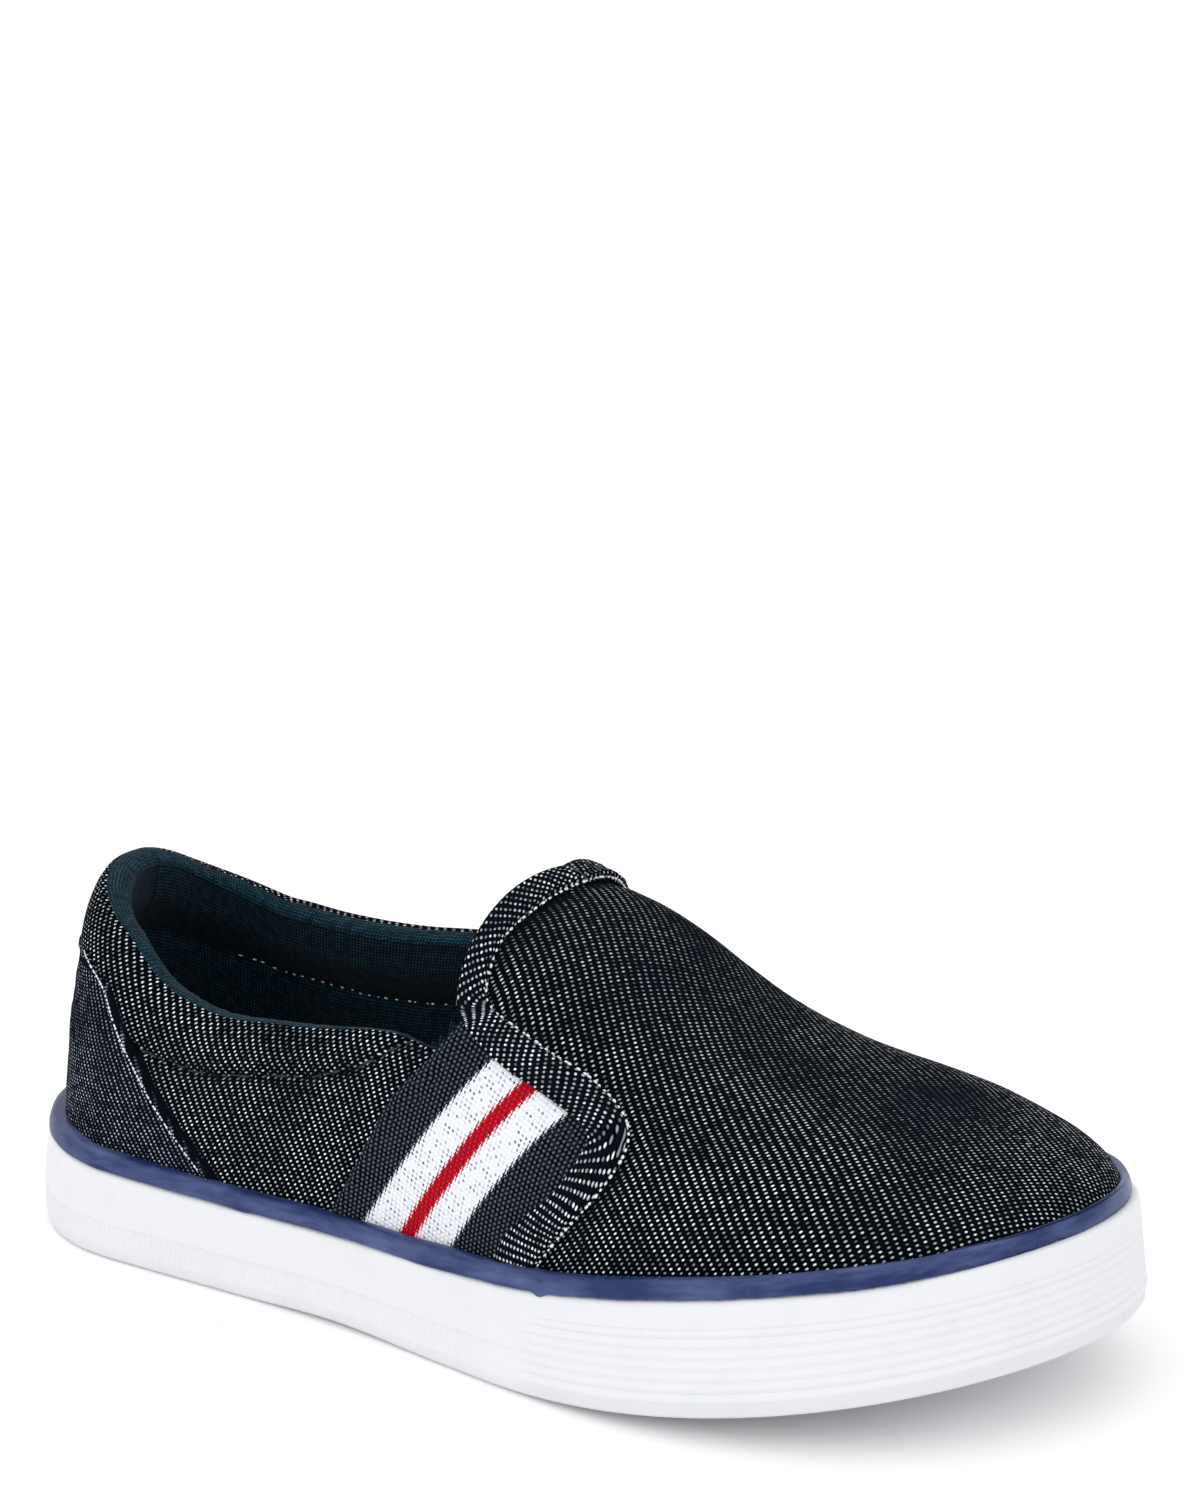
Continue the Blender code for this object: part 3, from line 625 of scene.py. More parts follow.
def denim(name, sizes):
    # Indigo denim, woven 3 over 1: dark warp ridges with the white weft showing as dots between them.
    # Matt, with no shine: the light it gives back comes from the white floats alone.
    made, tree, shader = newMaterial(name, {"Roughness": 0.95, "Specular IOR Level": 0.0})
    weft, pick = sizes["weft"], sizes["pick"]
    place = add(tree, "Attribute", {}, 1, attribute_name="cloth")
    blur = add(tree, "TexNoise", {"Vector": place, "Scale": 900.0, "Detail": 1.0}, 1)
    blur = add(tree, "VectorMath", {0: blur, 1: (0.5, 0.5, 0.5)}, operation="SUBTRACT")
    blur = add(tree, "VectorMath", {0: blur, 3: sizes["waver"]}, operation="SCALE")
    place = add(tree, "VectorMath", {0: place, 1: blur}, operation="ADD")
    i, _, cell, part = crossings(tree, place, (1 / weft, 1 / (4 * pick)), (0, -1 / pick))
    long, short = sizes["dot"]
    lean = math.radians(sizes["lean"])
    down, right = (math.cos(lean), -math.sin(lean)), (math.sin(lean), math.cos(lean))
    onLine = (weft * down[0] / long, (weft / 4 * down[0] - pick * down[1]) / long)
    offLine = (weft * right[0] / short, (weft / 4 * right[0] - pick * right[1]) / short)
    _, reach = fromCrossing(tree, part, onLine, offLine)
    dot = add(tree, "MapRange", {0: reach, 1: 0.55, 2: 1.15, 3: 1.0, 4: 0.0},
              interpolation_type="SMOOTHSTEP")
    chance = add(tree, "TexWhiteNoise", {"Vector": cell}, 0, noise_dimensions="3D")
    bright = add(tree, "MapRange", {0: chance, 1: 0.0, 2: 0.85, 3: sizes["dimmest"], 4: 1.0})
    patchy = add(tree, "TexNoise", {"Vector": place, "Scale": 70.0, "Detail": 3.0}, 0)
    patchy = add(tree, "MapRange", {0: patchy, 1: 0.36, 2: 0.56, 3: sizes["worn"], 4: 1.0})
    # painted shade and wear: where the shadeAndWear attribute is high the weft dots are hidden and the
    # cloth takes a plain dull colour
    shadeAndWear = add(tree, "Attribute", {}, 2, attribute_name="shadeAndWear")
    shown = add(tree, "Math", {0: 1.0, 1: shadeAndWear}, operation="SUBTRACT")
    for share in (bright, patchy, shown):
        dot = add(tree, "Math", {0: dot, 1: share}, operation="MULTIPLY")
    wave = add(tree, "Math", {0: i, 1: 2 * math.pi}, operation="MULTIPLY")
    wave = add(tree, "Math", {0: wave}, operation="COSINE")
    ridge = add(tree, "MapRange", {0: wave, 1: 0.55, 2: -0.8, 3: 0.0, 4: 1.0},
                interpolation_type="SMOOTHSTEP")
    fuzz = add(tree, "TexNoise", {"Vector": place, "Scale": 2200.0, "Detail": 2.0}, 0)
    fuzz = add(tree, "MapRange", {0: fuzz, 1: 0.3, 2: 0.7, 3: 0.25, 4: 1.0})
    tone = add(tree, "Math", {0: ridge, 1: fuzz}, operation="MULTIPLY")
    # painted shade and highlight: the furrows between the warp ridges are coloured darker than the ridges
    base = mixed(tree, tone, linear(sizes["furrow"]), linear(sizes["ridge"]))
    fadedAndShaded = mixed(tree, shadeAndWear, base, linear(sizes["fadedAndShaded"]))
    colour = mixed(tree, dot, fadedAndShaded, linear(sizes["white"]))
    height = add(tree, "Math", {0: ridge, 1: dot}, operation="MAXIMUM")
    height = add(tree, "Math", {0: height, 1: fuzz}, operation="MULTIPLY")
    finished(tree, shader, colour, height, 0.55, sizes["relief"])
    return made


denimSizes = {
    "weft": 1.27 * mm,        # four warp threads
    "pick": 0.59 * mm,
    "dot": (0.155 * mm, 0.26 * mm),    # half length and half width of a weft float
    "lean": 60,               # degrees from the weft down to the float's long side
    "waver": 0.16 * mm,
    "relief": 0.12 * mm,
    "dimmest": 0.12,          # white left on the dullest floats
    "worn": 0.5,              # and on the most worn places
    "furrow": "#020406",
    "ridge": "#0a0f14",
    # plain colour where shade is painted and where the cloth is worn
    "fadedAndShaded": "#0f1219",
    "white": "#f2f8ff",
}
vampDenim = denim("denim, twill", denimSizes)
patchDenim = denim("denim, finer side", {
    **denimSizes, "weft": 1.0 * mm, "pick": 0.52 * mm, "dot": (0.19 * mm, 0.18 * mm), "worn": 0.25,
    "white": "#b6c0cf", "ridge": "#0f1420"})
bindingDenim = denim("denim, turned strip", {
    **denimSizes, "dot": (0.2 * mm, 0.25 * mm), "worn": 0.55, "ridge": "#0e131c", "furrow": "#030508"})


def canvas(name, sizes):
    # Plain-woven cotton canvas, piece dyed: square thread crowns in a dull cloth.
    values = {"Roughness": 0.95, "Specular IOR Level": 0.1, "Sheen Weight": 0.03}
    made, tree, shader = newMaterial(name, values)
    place = add(tree, "Attribute", {}, 1, attribute_name="cloth")
    spin = 2 * math.pi / sizes["thread"]
    waves = add(tree, "VectorMath", {0: place, 3: spin}, operation="SCALE")
    waves = add(tree, "VectorMath", {0: waves}, operation="COSINE")
    parts = add(tree, "SeparateXYZ", {0: waves}).node.outputs
    crown = add(tree, "Math", {0: parts[0], 1: parts[1]}, operation="ADD")
    crown = add(tree, "MapRange", {0: crown, 1: -0.6, 2: 1.8, 3: 0.0, 4: 1.0},
                interpolation_type="SMOOTHSTEP")
    chance = add(tree, "TexNoise", {"Vector": place, "Scale": 700.0, "Detail": 2.0}, 0)
    chance = add(tree, "MapRange", {0: chance, 1: 0.35, 2: 0.7, 3: 0.15, 4: 1.0})
    share = add(tree, "Math", {0: crown, 1: chance}, operation="MULTIPLY")
    # painted shade: the hollows between the thread crowns take the dark colour and the crowns the light
    # one, with random tone on top
    colour = mixed(tree, share, linear(sizes["dark"]), linear(sizes["light"]))
    finished(tree, shader, colour, crown, 0.6, 0.12 * mm)
    return made


# lit and shaded copies of one teal canvas: the lining is coloured darker as painted shade inside the shoe,
# and the collar rim lighter as painted light, since it faces up
shadedLiningCanvas = canvas("canvas, dyed teal, painted shade", {"thread": 0.56 * mm, "dark": "#030b11", "light": "#1f475a"})
litRimCanvas = canvas("canvas, collar edge, painted light", {"thread": 0.56 * mm, "dark": "#05151c", "light": "#26576b"})
# painted shade: the insole is coloured near black as the shade inside the shoe; its own colour is not seen
shadedSockCanvas = canvas("canvas, insole, painted shade", {"thread": 0.8 * mm, "dark": "#030405", "light": "#0c1115"})

tapeSizes = {
    "span": 28 * mm,
    "first": (0.75 * mm, 0.275 * mm),    # from one thread crown to the next, on the tape
    "second": (-0.374 * mm, 0.604 * mm),
    "crown": 0.36 * mm,
    # where each starts across the tape, its yarn colour on the crowns (the dark yarn lightened, partly a
    # painted highlight), and how light it stays between crowns, a painted shade
    "stripes": (
        (0.0, "#566171", 0.0),
        (0.232, "#f3f5fc", 0.8),
        (0.44, "#e0142c", 0.4),
        (0.536, "#f3f5fc", 0.8),
        (0.744, "#566171", 0.0),
    ),
    "holes": 0.95,            # how dark the pin holes between the crowns get
    "shade": "#20242c",
    "relief": 0.16 * mm,
}


def elasticTape(name, sizes):
    # Elastic webbing: rounded polyester crowns in slanting rows, striped in the weave, with a soft shine.
    made, tree, shader = newMaterial(name, {"Roughness": 0.7, "Specular IOR Level": 0.03})
    (a, c), (b, d) = sizes["first"], sizes["second"]
    area = a * d - b * c
    place = add(tree, "Attribute", {}, 1, attribute_name="cloth")
    _, grid, _, part = crossings(tree, place, (d / area, -b / area), (-c / area, a / area))
    u, reach = fromCrossing(tree, part, (a, b), (c, d))
    crown = add(tree, "MapRange", {0: reach, 1: 0.0, 2: sizes["crown"] * 1.05, 3: 1.0, 4: 0.0},
                interpolation_type="SMOOTHSTEP")
    across = add(tree, "Attribute", {}, 2, attribute_name="across")
    across = add(tree, "Math", {0: u, 1: -1 / sizes["span"], 2: across}, operation="MULTIPLY_ADD")
    ramp = tree.nodes.new("ShaderNodeValToRGB")
    ramp.color_ramp.interpolation = "CONSTANT"
    while len(ramp.color_ramp.elements) < len(sizes["stripes"]):
        ramp.color_ramp.elements.new(0.9)
    for element, (start, code, gap) in zip(ramp.color_ramp.elements, sizes["stripes"]):
        element.position = start
        element.color = linear(code)[:3] + (gap,)
    tree.links.new(across, ramp.inputs[0])
    # painted shade: between the crowns the yarn colour darkens to the stripe's share of it
    dark = add(tree, "MapRange", {0: crown, 1: 0.1, 2: 0.9, 3: ramp.outputs[1], 4: 1.0})
    yarn = add(tree, "VectorMath", {0: ramp.outputs[0], 3: dark}, operation="SCALE")
    chance = add(tree, "VectorMath", {0: grid}, operation="FLOOR")
    chance = add(tree, "TexWhiteNoise", {"Vector": chance}, 0, noise_dimensions="3D")
    corner = add(tree, "VectorMath", {0: grid}, operation="FRACTION")
    corner = add(tree, "VectorMath", {0: corner, 1: (0.5, 0.5, 0)}, operation="SUBTRACT")
    corner = add(tree, "VectorMath", {0: corner}, 1, operation="LENGTH")
    hole = add(tree, "MapRange", {0: corner, 1: 0.14, 2: 0.36, 3: 1.0, 4: 0.0},
               interpolation_type="SMOOTHSTEP")
    often = add(tree, "MapRange", {0: chance, 1: 0.35, 2: 1.0, 3: 0.0, 4: sizes["holes"]})
    hole = add(tree, "Math", {0: hole, 1: often}, operation="MULTIPLY")
    colour = mixed(tree, hole, yarn, linear(sizes["shade"]))
    finished(tree, shader, colour, crown, 0.7, sizes["relief"])
    return made


tape = elasticTape("elastic webbing, striped", tapeSizes)


def mouldedRubber(name, sizes):
    # Vulcanised rubber from a mould: even colour, faint smears, and a soft wide highlight.
    values = {"Roughness": sizes["roughness"], "Specular IOR Level": sizes["shine"], "IOR": 1.52}
    made, tree, shader = newMaterial(name, values)
    place = add(tree, "Attribute", {}, 1, attribute_name="cloth")
    smear = add(tree, "VectorMath", {0: place, 1: sizes["stretch"]}, operation="MULTIPLY")
    smear = add(tree, "TexNoise", {"Vector": smear, "Scale": 150.0, "Detail": 5.0, "Roughness": 0.62}, 0)
    smear = add(tree, "MapRange", {0: smear, 1: sizes["clean"], 2: sizes["smeared"], 3: 0.0, 4: 1.0})
    colour = mixed(tree, smear, linear(sizes["colour"]), linear(sizes["smear"]))
    grain = add(tree, "TexNoise", {"Vector": place, "Scale": 1500.0, "Detail": 3.0}, 0)
    finished(tree, shader, colour, grain, sizes["grain"], 0.08 * mm)
    return made


whiteRubber = mouldedRubber("rubber, moulded white", {
    "roughness": 0.55, "shine": 0.3, "stretch": (1, 1, 1), "clean": 0.5, "smeared": 0.9,
    "colour": "#dadbdf", "smear": "#d2d4da", "grain": 0.12})
# the navy's lighter smear streaks are partly smudges and partly a painted highlight
navyRubber = mouldedRubber("rubber, navy foxing", {
    "roughness": 0.38, "shine": 0.2, "stretch": (0.35, 1.5, 1), "clean": 0.42, "smeared": 0.78,
    "colour": "#1a2a58", "smear": "#5a6893", "grain": 0.3})


def spunThread(name, code, dark):
    # Twisted polyester thread: a slight shine, and small dark hollows between the plies, painted as shade
    # in the colour by noise.
    made, tree, shader = newMaterial(name, {"Roughness": 0.6, "Specular IOR Level": 0.4})
    place = add(tree, "TexCoord", {}, 3)
    twist = add(tree, "TexNoise", {"Vector": place, "Scale": 1400.0, "Detail": 2.0}, 0)
    colour = mixed(tree, twist, linear(dark), linear(code))
    tree.links.new(colour, shader.inputs["Base Color"])
    return made


whiteThread = spunThread("thread, white", "#ffffff", "#b7c3d4")
navyThread = spunThread("thread, navy", "#2a3040", "#06080c")
print("materials made")


# Sole: tread with zigzag lugs, and a sidewall with toe ribs

sole = {
    "columns": 1290,          # round the shoe, a third of a millimetre apart
    "wallRows": 56,
    "treadBorder": 6 * mm,
    # the rounded foot of the sidewall: inset and rise, mm
    "foot": ((6, 1.2), (6, 0), (3.6, 0), (1.6, 0), (0.7, 0.25), (0.3, 0.8)),
    "wallFoot": 2.2 * mm,
    "wallBulge": 0.8 * mm,
    # over the rim and down inside: inset in mm from rim or upper, height above the rim in mm
    "lip": ((0.2, "rim", -0.35), (0.5, "rim", -0.12), (1.0, "rim", 0.03), (-0.3, "upper", 0.03),
            (0.2, "upper", -4)),
    "treadRows": 460,
    "treadColumns": 150,
    "lugs": ((0.06, 0.27), (0.55, 0.90)),    # along the shoe
    "grooveWidth": 1.8 * mm,
    "grooveDepth": 1.5 * mm,
    "groovePitch": 6.6 * mm,
    "grooveWave": 2.4 * mm,
    "grooveEdge": 0.35 * mm,
    "ribPitch": 1.45 * mm,    # level ribs round the toe
    "ribDepth": 0.34 * mm,
    "ribTop": 0.78,           # share of the sidewall
    "ribStart": 0.60,         # along the shoe
    "flutePitch": 3,          # columns
    "fluteDepth": 0.16 * mm,
    "fluteTop": 0.34,
    "fluteEnd": 0.575,
    "fluteStep": 0.12 * mm,   # the wall above them stands proud
    "crossDepth": 0.05 * mm,  # fine crossed lines between flutes and ribs
    "crossPitch": 2.1 * mm,
    "crossStart": 0.44,
    "crossEnd": 0.59,
}


def roundShoe(columns):
    # Evenly spaced places round the outline: stations and sides, lateral heel to toe, then back.
    count = 1500                         # fine steps along one side
    fine = np.linspace(0, 1, count)
    stations = np.concatenate([fine, fine[::-1][1:]])
    sides = np.concatenate([np.full(count, lateral), np.full(count - 1, medial)])
    path = np.where(sides[:, None] < 0, soleOutline(stations, lateral), soleOutline(stations, medial))
    run = lengthAlong(path)
    wanted = np.linspace(0, run[-1], columns, endpoint=False)
    place = np.interp(wanted, run, np.arange(len(run)))
    ahead = place <= count - 1
    station = np.where(ahead, place, 2 * (count - 1) - place) / (count - 1)
    return np.clip(station, 0, 1), np.where(ahead, lateral, medial), wanted


def makeSidewall():
    count = sole["columns"]
    station, side, run = roundShoe(count)
    along = alongOf(station)

    def ground(rise):
        return lambda plan: underside(plan) + rise

    def wallAt(share):
        return lambda plan: underside(plan) + (rimHeight(plan[:, 0]) - underside(plan)) * share

    def aboveRim(rise):
        return lambda plan: rimHeight(plan[:, 0]) + rise

    def ring(inset, column, height):
        plan = insetOutline(station, side, inset + (edgeInset(station, column) if column else 0))
        return np.column_stack([plan, height(plan)])

    loops = [ring(inset * mm, None, ground(rise * mm)) for inset, rise in sole["foot"]]
    low = ring(0, None, ground(sole["wallFoot"]))
    middle = ring(-sole["wallBulge"], "rim", wallAt(0.6))
    high = ring(0, "rim", wallAt(0.94))
    outward = unit(np.column_stack([low[:, :2] - ring(4 * mm, None, ground(0))[:, :2], np.zeros(count)]))
    heel = np.minimum(station, 0.06) / 0.06
    fade = ease((along - sole["ribStart"]) / 0.03)
    ribs = np.round((high[:, 2] - low[:, 2]).max() * sole["ribTop"] / sole["ribPitch"])
    fluted = (np.arange(count) % sole["flutePitch"] == 0) * heel
    fluted = fluted * (1 - ease((along - sole["fluteEnd"]) / 0.01))
    for share in np.linspace(0, 1, sole["wallRows"]):
        line = low * (1 - share)**2 + high * share**2 + 2 * share * (1 - share) * (
            2 * middle - (low + high) / 2)
        line[:, 2] = low[:, 2] + (high[:, 2] - low[:, 2]) * share
        rib = np.sin(np.pi * np.clip(share / sole["ribTop"], 0, 1) * ribs)**2
        sunk = sole["ribDepth"] * (1 - rib**0.35) * (share < sole["ribTop"]) * fade
        sunk = sunk + sole["fluteDepth"] * fluted * ease((sole["fluteTop"] - share) / 0.02)
        turns = run / sole["crossPitch"]
        cross = np.abs(np.sin(np.pi * (turns + share * 6)) * np.sin(np.pi * (turns - share * 6)))
        zone = ease((along - sole["crossStart"]) / 0.01)
        zone = zone * (1 - ease((along - sole["crossEnd"] - 0.02 * share) / 0.008))
        zone = zone * ease((share - 0.45) / 0.05) * ease((0.93 - share) / 0.04)
        sunk = sunk + sole["crossDepth"] * (1 - cross) * zone
        step = sole["fluteStep"] * ease((share - sole["fluteTop"]) / 0.02) * (1 - fade)
        loops.append(line + outward * (step - sunk)[:, None])
    loops += [ring(inset * mm, column, aboveRim(rise * mm)) for inset, column, rise in sole["lip"]]
    loops.append(ring(0.2 * mm, "upper", lambda plan: floorHeight(plan[:, 0]) + 0.1 * mm))
    points = np.stack(loops)
    addGrid("solesidewall", points, whiteRubber, "cupsole",
            {"cloth": pairs(run, lengthAlong(points))}, closed=True, flip=True)


def widthAt(x, side, inset):
    return insetOutline(stationAt(alongAt(x)), side, inset)[..., 1]


def makeTread():
    # Plate inside the border, with zigzag channels pressed up into it.
    border = sole["treadBorder"]
    reach = 0.5 * last["length"] - border - 0.6 * mm
    xs = np.linspace(-reach, reach, sole["treadRows"])
    low, high = widthAt(xs, lateral, border), widthAt(xs, medial, border)
    y = low[:, None] + (high - low)[:, None] * np.linspace(0, 1, sole["treadColumns"])
    x = np.broadcast_to(xs[:, None], y.shape)
    zig = np.abs((y / (2 * sole["grooveWave"])) % 2 - 1) - 0.5
    depth = np.zeros_like(y)
    for start, end in sole["lugs"]:
        count = int((end - start) * last["length"] / sole["groovePitch"])
        for k in range(count):
            middle = (start + (end - start) * (k + 0.5) / count - 0.5) * last["length"]
            gap = np.abs(x - middle - sole["grooveWave"] * zig) - sole["grooveWidth"] / 2
            depth = np.maximum(depth, ease(-gap / sole["grooveEdge"] + 0.5))
    inset = np.minimum(y - low[:, None], high[:, None] - y)
    ends = ease((xs[-1] - x) / mm) * ease((x - xs[0]) / mm)
    depth = depth * ease(inset / (0.8 * mm)) * ends
    edgeLine = 1 - ease(inset / (0.5 * mm)) * ends
    plan = pairs(x, y)
    z = underside(plan) + sole["grooveDepth"] * np.maximum(depth, 0.6 * edgeLine)
    points = np.concatenate([plan, z[..., None]], -1)
    addGrid("soletread", points, whiteRubber, "cupsole", {"cloth": plan})


makeSidewall()
makeTread()
print("sole made")

# Navy foxing stripe

stripe = {
    "columns": 900,
    "height": 2.8 * mm,
    "raggedness": 0.16 * mm,
    "swell": 0.07 * mm,
    "toeInset": 1.3 * mm,     # at the toe it stands back from the edge of the sidewall
    # along, width and drop of the slips of the lower edge, lateral side
    "slips": ((0.305, 0.010, 0.25 * mm), (0.625, 0.006, 0.7 * mm), (0.50, 0.05, 0.3 * mm)),
    # its section: inset in mm from upper or rim, and share of the height
    "profile": (
        (-0.3, "upper", 0.0), (0.9, "rim", 0.02), (0.25, "rim", 0.0), (-0.02, "rim", 0.05),
        (-0.05, "rim", 0.14), (0.0, "rim", 0.35), (0.2, "rim", 0.6), (0.5, "rim", 0.82),
        (0.85, "rim", 0.93), (1.3, "rim", 0.985), (-0.9, "upper", 1.0), (-0.35, "upper", 0.97),
        (0.1, "upper", 0.85),
    ),
}


def makeStripe():
    station, side, run = roundShoe(stripe["columns"])
    along = alongOf(station)
    sag = stripe["raggedness"] * (wander(run, 0, 9 * mm, 3) + 0.5 * wander(run, 0, 2.6 * mm, 4))
    rough = 0.1 * mm * wander(run, 0, 1.1 * mm, 5) * ease((along - 0.62) / 0.05)
    low = 0.15 * mm - np.abs(sag) + rough
    for place, width, drop in stripe["slips"]:
        low = low - drop * bell(along - place, width) * (side < 0)
    tall = stripe["height"] + 0.12 * mm * wander(run, 0, 7 * mm, 6)
    back = stripe["toeInset"] * ease((along - 0.9) / 0.09)

    def ring(inset, column, share):
        stepBack = back if column == "rim" else 0.35 * back
        plan = insetOutline(station, side, inset * mm + edgeInset(station, column) + stepBack)
        return np.column_stack([plan, rimHeight(plan[:, 0]) + low + (tall - low) * share])

    points = np.stack([ring(*row) for row in stripe["profile"]])
    swell = stripe["swell"] * wander(run, 0, 5 * mm, 8)
    points[3:8, :, :2] += unit(points[5, :, :2] - points[0, :, :2]) * swell[None, :, None]
    addGrid("foxingstripe", points, navyRubber, "foxing_stripe",
            {"cloth": pairs(run, lengthAlong(points))}, closed=True, flip=True)


makeStripe()
print("stripe made")


# Throat lines that vamp, binding and stitches share

def bindingLine(column, count):          # stations and degrees along the strip's seam or edge
    rows = np.arange(len(binding["seamAngle"]), dtype=float)
    fine = np.linspace(0, rows[-1], count)
    return [smoothCurve(fine, rows, binding[column + kind]) for kind in ("Station", "Angle")]


def crestDrop(station, degrees):         # the tab's top has sagged a little
    return 0.9 * mm * ease((degrees - 58) / 26) * ease((0.57 - station) / 0.05)


seamLine = {side: surface(*bindingLine("seam", 500), side)[0] for side in (lateral, medial)}
insideToe = (20 * mm, 0, 25 * mm)        # places in the hollow, to tell in from out
insideCollar = (-40 * mm, 0, 30 * mm)

vamp = {
    "rows": 240,
    "columns": 111,           # on each side
    "grain": 20,              # degrees from the shoe's length to the weft, low on the outer side
    "start": 0.4918,          # station behind the tab's top, cut away under the binding
    "tuck": 0.5 * mm,         # it goes down into the seam
    "tuckReach": 2.2 * mm,
    "pucker": 0.16 * mm,      # along the seam, and over the cloth in long and short waves
    "wobble": 0.28 * mm,
    "ripple": 0.06 * mm,
    # soft creases: station, degrees, side, half length along, half width, depth
    "creases": (
        (0.640, 52, lateral, 14 * mm, 3.0 * mm, 0.35 * mm),
        (0.660, 66, lateral, 18 * mm, 4.0 * mm, -0.3 * mm),
        (0.720, 20, lateral, 10 * mm, 3.5 * mm, 0.25 * mm),
        (0.640, 60, medial, 14 * mm, 4.0 * mm, 0.3 * mm),
    ),
}


def creaseDepth(points, creases):        # soft troughs and ridges, longer along the shoe
    depth = np.zeros(points.shape[:-1])
    for station, degrees, side, half, wide, deep in creases:
        centre, normal = surface(station, degrees, side)
        ahead = lastPoint(np.float64(station + 0.01), np.radians(degrees), np.float64(side))
        forward = unit(ahead - centre)
        across = np.cross(normal, forward)
        way = points - centre
        depth += deep * bell(way @ forward, half) * bell(way @ across, wide) * bell(way @ normal, 3 * wide)
    return depth


def makeVamp():
    station, degrees, side = overToe(vamp["start"], vamp["rows"], vamp["columns"])
    point, normal = surface(station, degrees, side)
    seam, edgeOf = bindingLine("seam", 120), bindingLine("edge", 120)
    middle = list(zip((seam[0] + edgeOf[0]) / 2, (seam[1] + edgeOf[1]) / 2))
    behind = middle + [(middle[-1][0], 95), (0.3, 95), (0.3, -5), (middle[0][0], -5)]
    gap = np.empty(point.shape[:2])
    place = np.empty(point.shape[:2])
    for which in (lateral, medial):
        columns = side[0] == which
        gap[:, columns], place[:, columns] = nearLine(point[:, columns], seamLine[which])
    girth = lengthAlong(point, axis=1)
    x = point[..., 0]
    offset = -vamp["tuck"] * bell(gap, vamp["tuckReach"])
    offset = offset + vamp["pucker"] * wander(place, gap, 2.4 * mm, 11) * np.exp(-gap / (5 * mm))
    offset = offset + vamp["wobble"] * wander(x, girth, 17 * mm, 12) * ease(girth / (6 * mm))
    offset = offset + vamp["ripple"] * wander(x, girth, 4 * mm, 13)
    offset = offset - creaseDepth(point, vamp["creases"]) - crestDrop(station, degrees)
    points = point + normal * offset[..., None]
    ridge = vamp["columns"] - 1
    crestPlan = point[:, ridge:ridge + 1, :2]
    foot = np.where(side[..., None] < 0, point[:, :1, :2], point[:, -1:, :2])
    fromCrest = np.abs(girth - girth[:, ridge:ridge + 1])[..., None]
    flat = flatPattern(points, crestPlan + unit(foot - crestPlan) * fromCrest, degree=4)
    flat = turned(flat, 68, 48, (4, 0), vamp["grain"])
    # where the weft dots are hidden and the cloth dulled: a painted shadow of the binding beside the seam;
    # over the instep and on the inner brow, painted dimming where a glancing view hides the dots; and
    # dimmer towards the toe
    shadeAndWear = 0.85 * np.exp(-gap / (1.1 * mm)) * (wander(place, 0, 3 * mm, 14) > -0.2)
    brow = bell(degrees - 78, 14) * (side > 0) * ease((alongOf(station) - 0.5) / 0.1)
    shadeAndWear = shadeAndWear + ease((degrees - 42) / 44) * np.where(side < 0, 0.6, 0.45)
    shadeAndWear = shadeAndWear + 0.25 * ease((alongOf(station) - 0.8) / 0.15)
    shadeAndWear = np.clip(shadeAndWear + 0.55 * brow * (0.6 + 0.5 * wander(x, girth, 9 * mm, 15)), 0, 0.95)
    addGrid("vamp", points, vampDenim, "upper", {"cloth": flat, "shadeAndWear": shadeAndWear},
            inner=insideToe, keep=outsideLoop(behind, station, degrees))


makeVamp()
print("vamp made")

quarter = {
    "columns": 521,           # from the inner tape round the heel to the outer tape
    "rows": 92,
    "rollRows": 12,
    "frontFoot": 0.440,       # front edge, tucked under the tape
    "frontTop": 0.484,
    "wall": 2.2 * mm,
    "collarWall": 5 * mm,
    "padDepth": 13 * mm,      # on the inside, below the topline
    "bulge": 1.1 * mm,
    "groove": 0.8 * mm,       # pulled in by the topstitch
    "grain": 23,              # degrees from the topline to the weft, at the outer side
    "pucker": 0.3 * mm,
    "wobble": 0.22 * mm,
    "stitch": 2.4 * mm,       # from one stitch to the next
    "valley": 0.45 * mm,      # crease in front of the heel patch
    "liningSeam": 12.5 * mm,  # below the topline
    "liningDent": 0.8 * mm,
    "rollHeight": 1.7 * mm,
    "thinFrom": 0.39,         # the padding fades towards the gore
    "rimOuter": 50,           # degrees over the roll where the lining takes over, outer side
    "rimInner": 95,
}
# how far the sewn topline stands above the last's, mm
trim = table("station lateral medial", [
    (0.000, -0.5, -0.5),
    (0.050, -0.4, -1.4),
    (0.100, -0.9, -2.3),
    (0.150, -1.9, -2.0),
    (0.200, -2.8, -0.6),
    (0.250, -3.2, 0.5),
    (0.340, -3.2, 0.6),
    (0.420, -2.9, 0.5),
    (0.484, -2.1, -0.5),
])
# topstitch under the padding, degrees up the form
topstitch = table("station angle", [
    (0.00, 22.0),
    (0.15, 20.5),
    (0.28, 18.3),
    (0.318, 17.4),
    (0.348, 17.5),
    (0.376, 18.5),
    (0.402, 19.5),
    (0.430, 22.0),
    (0.448, 25.0),
    (0.466, 30.0),
    (0.484, 35.0),
])


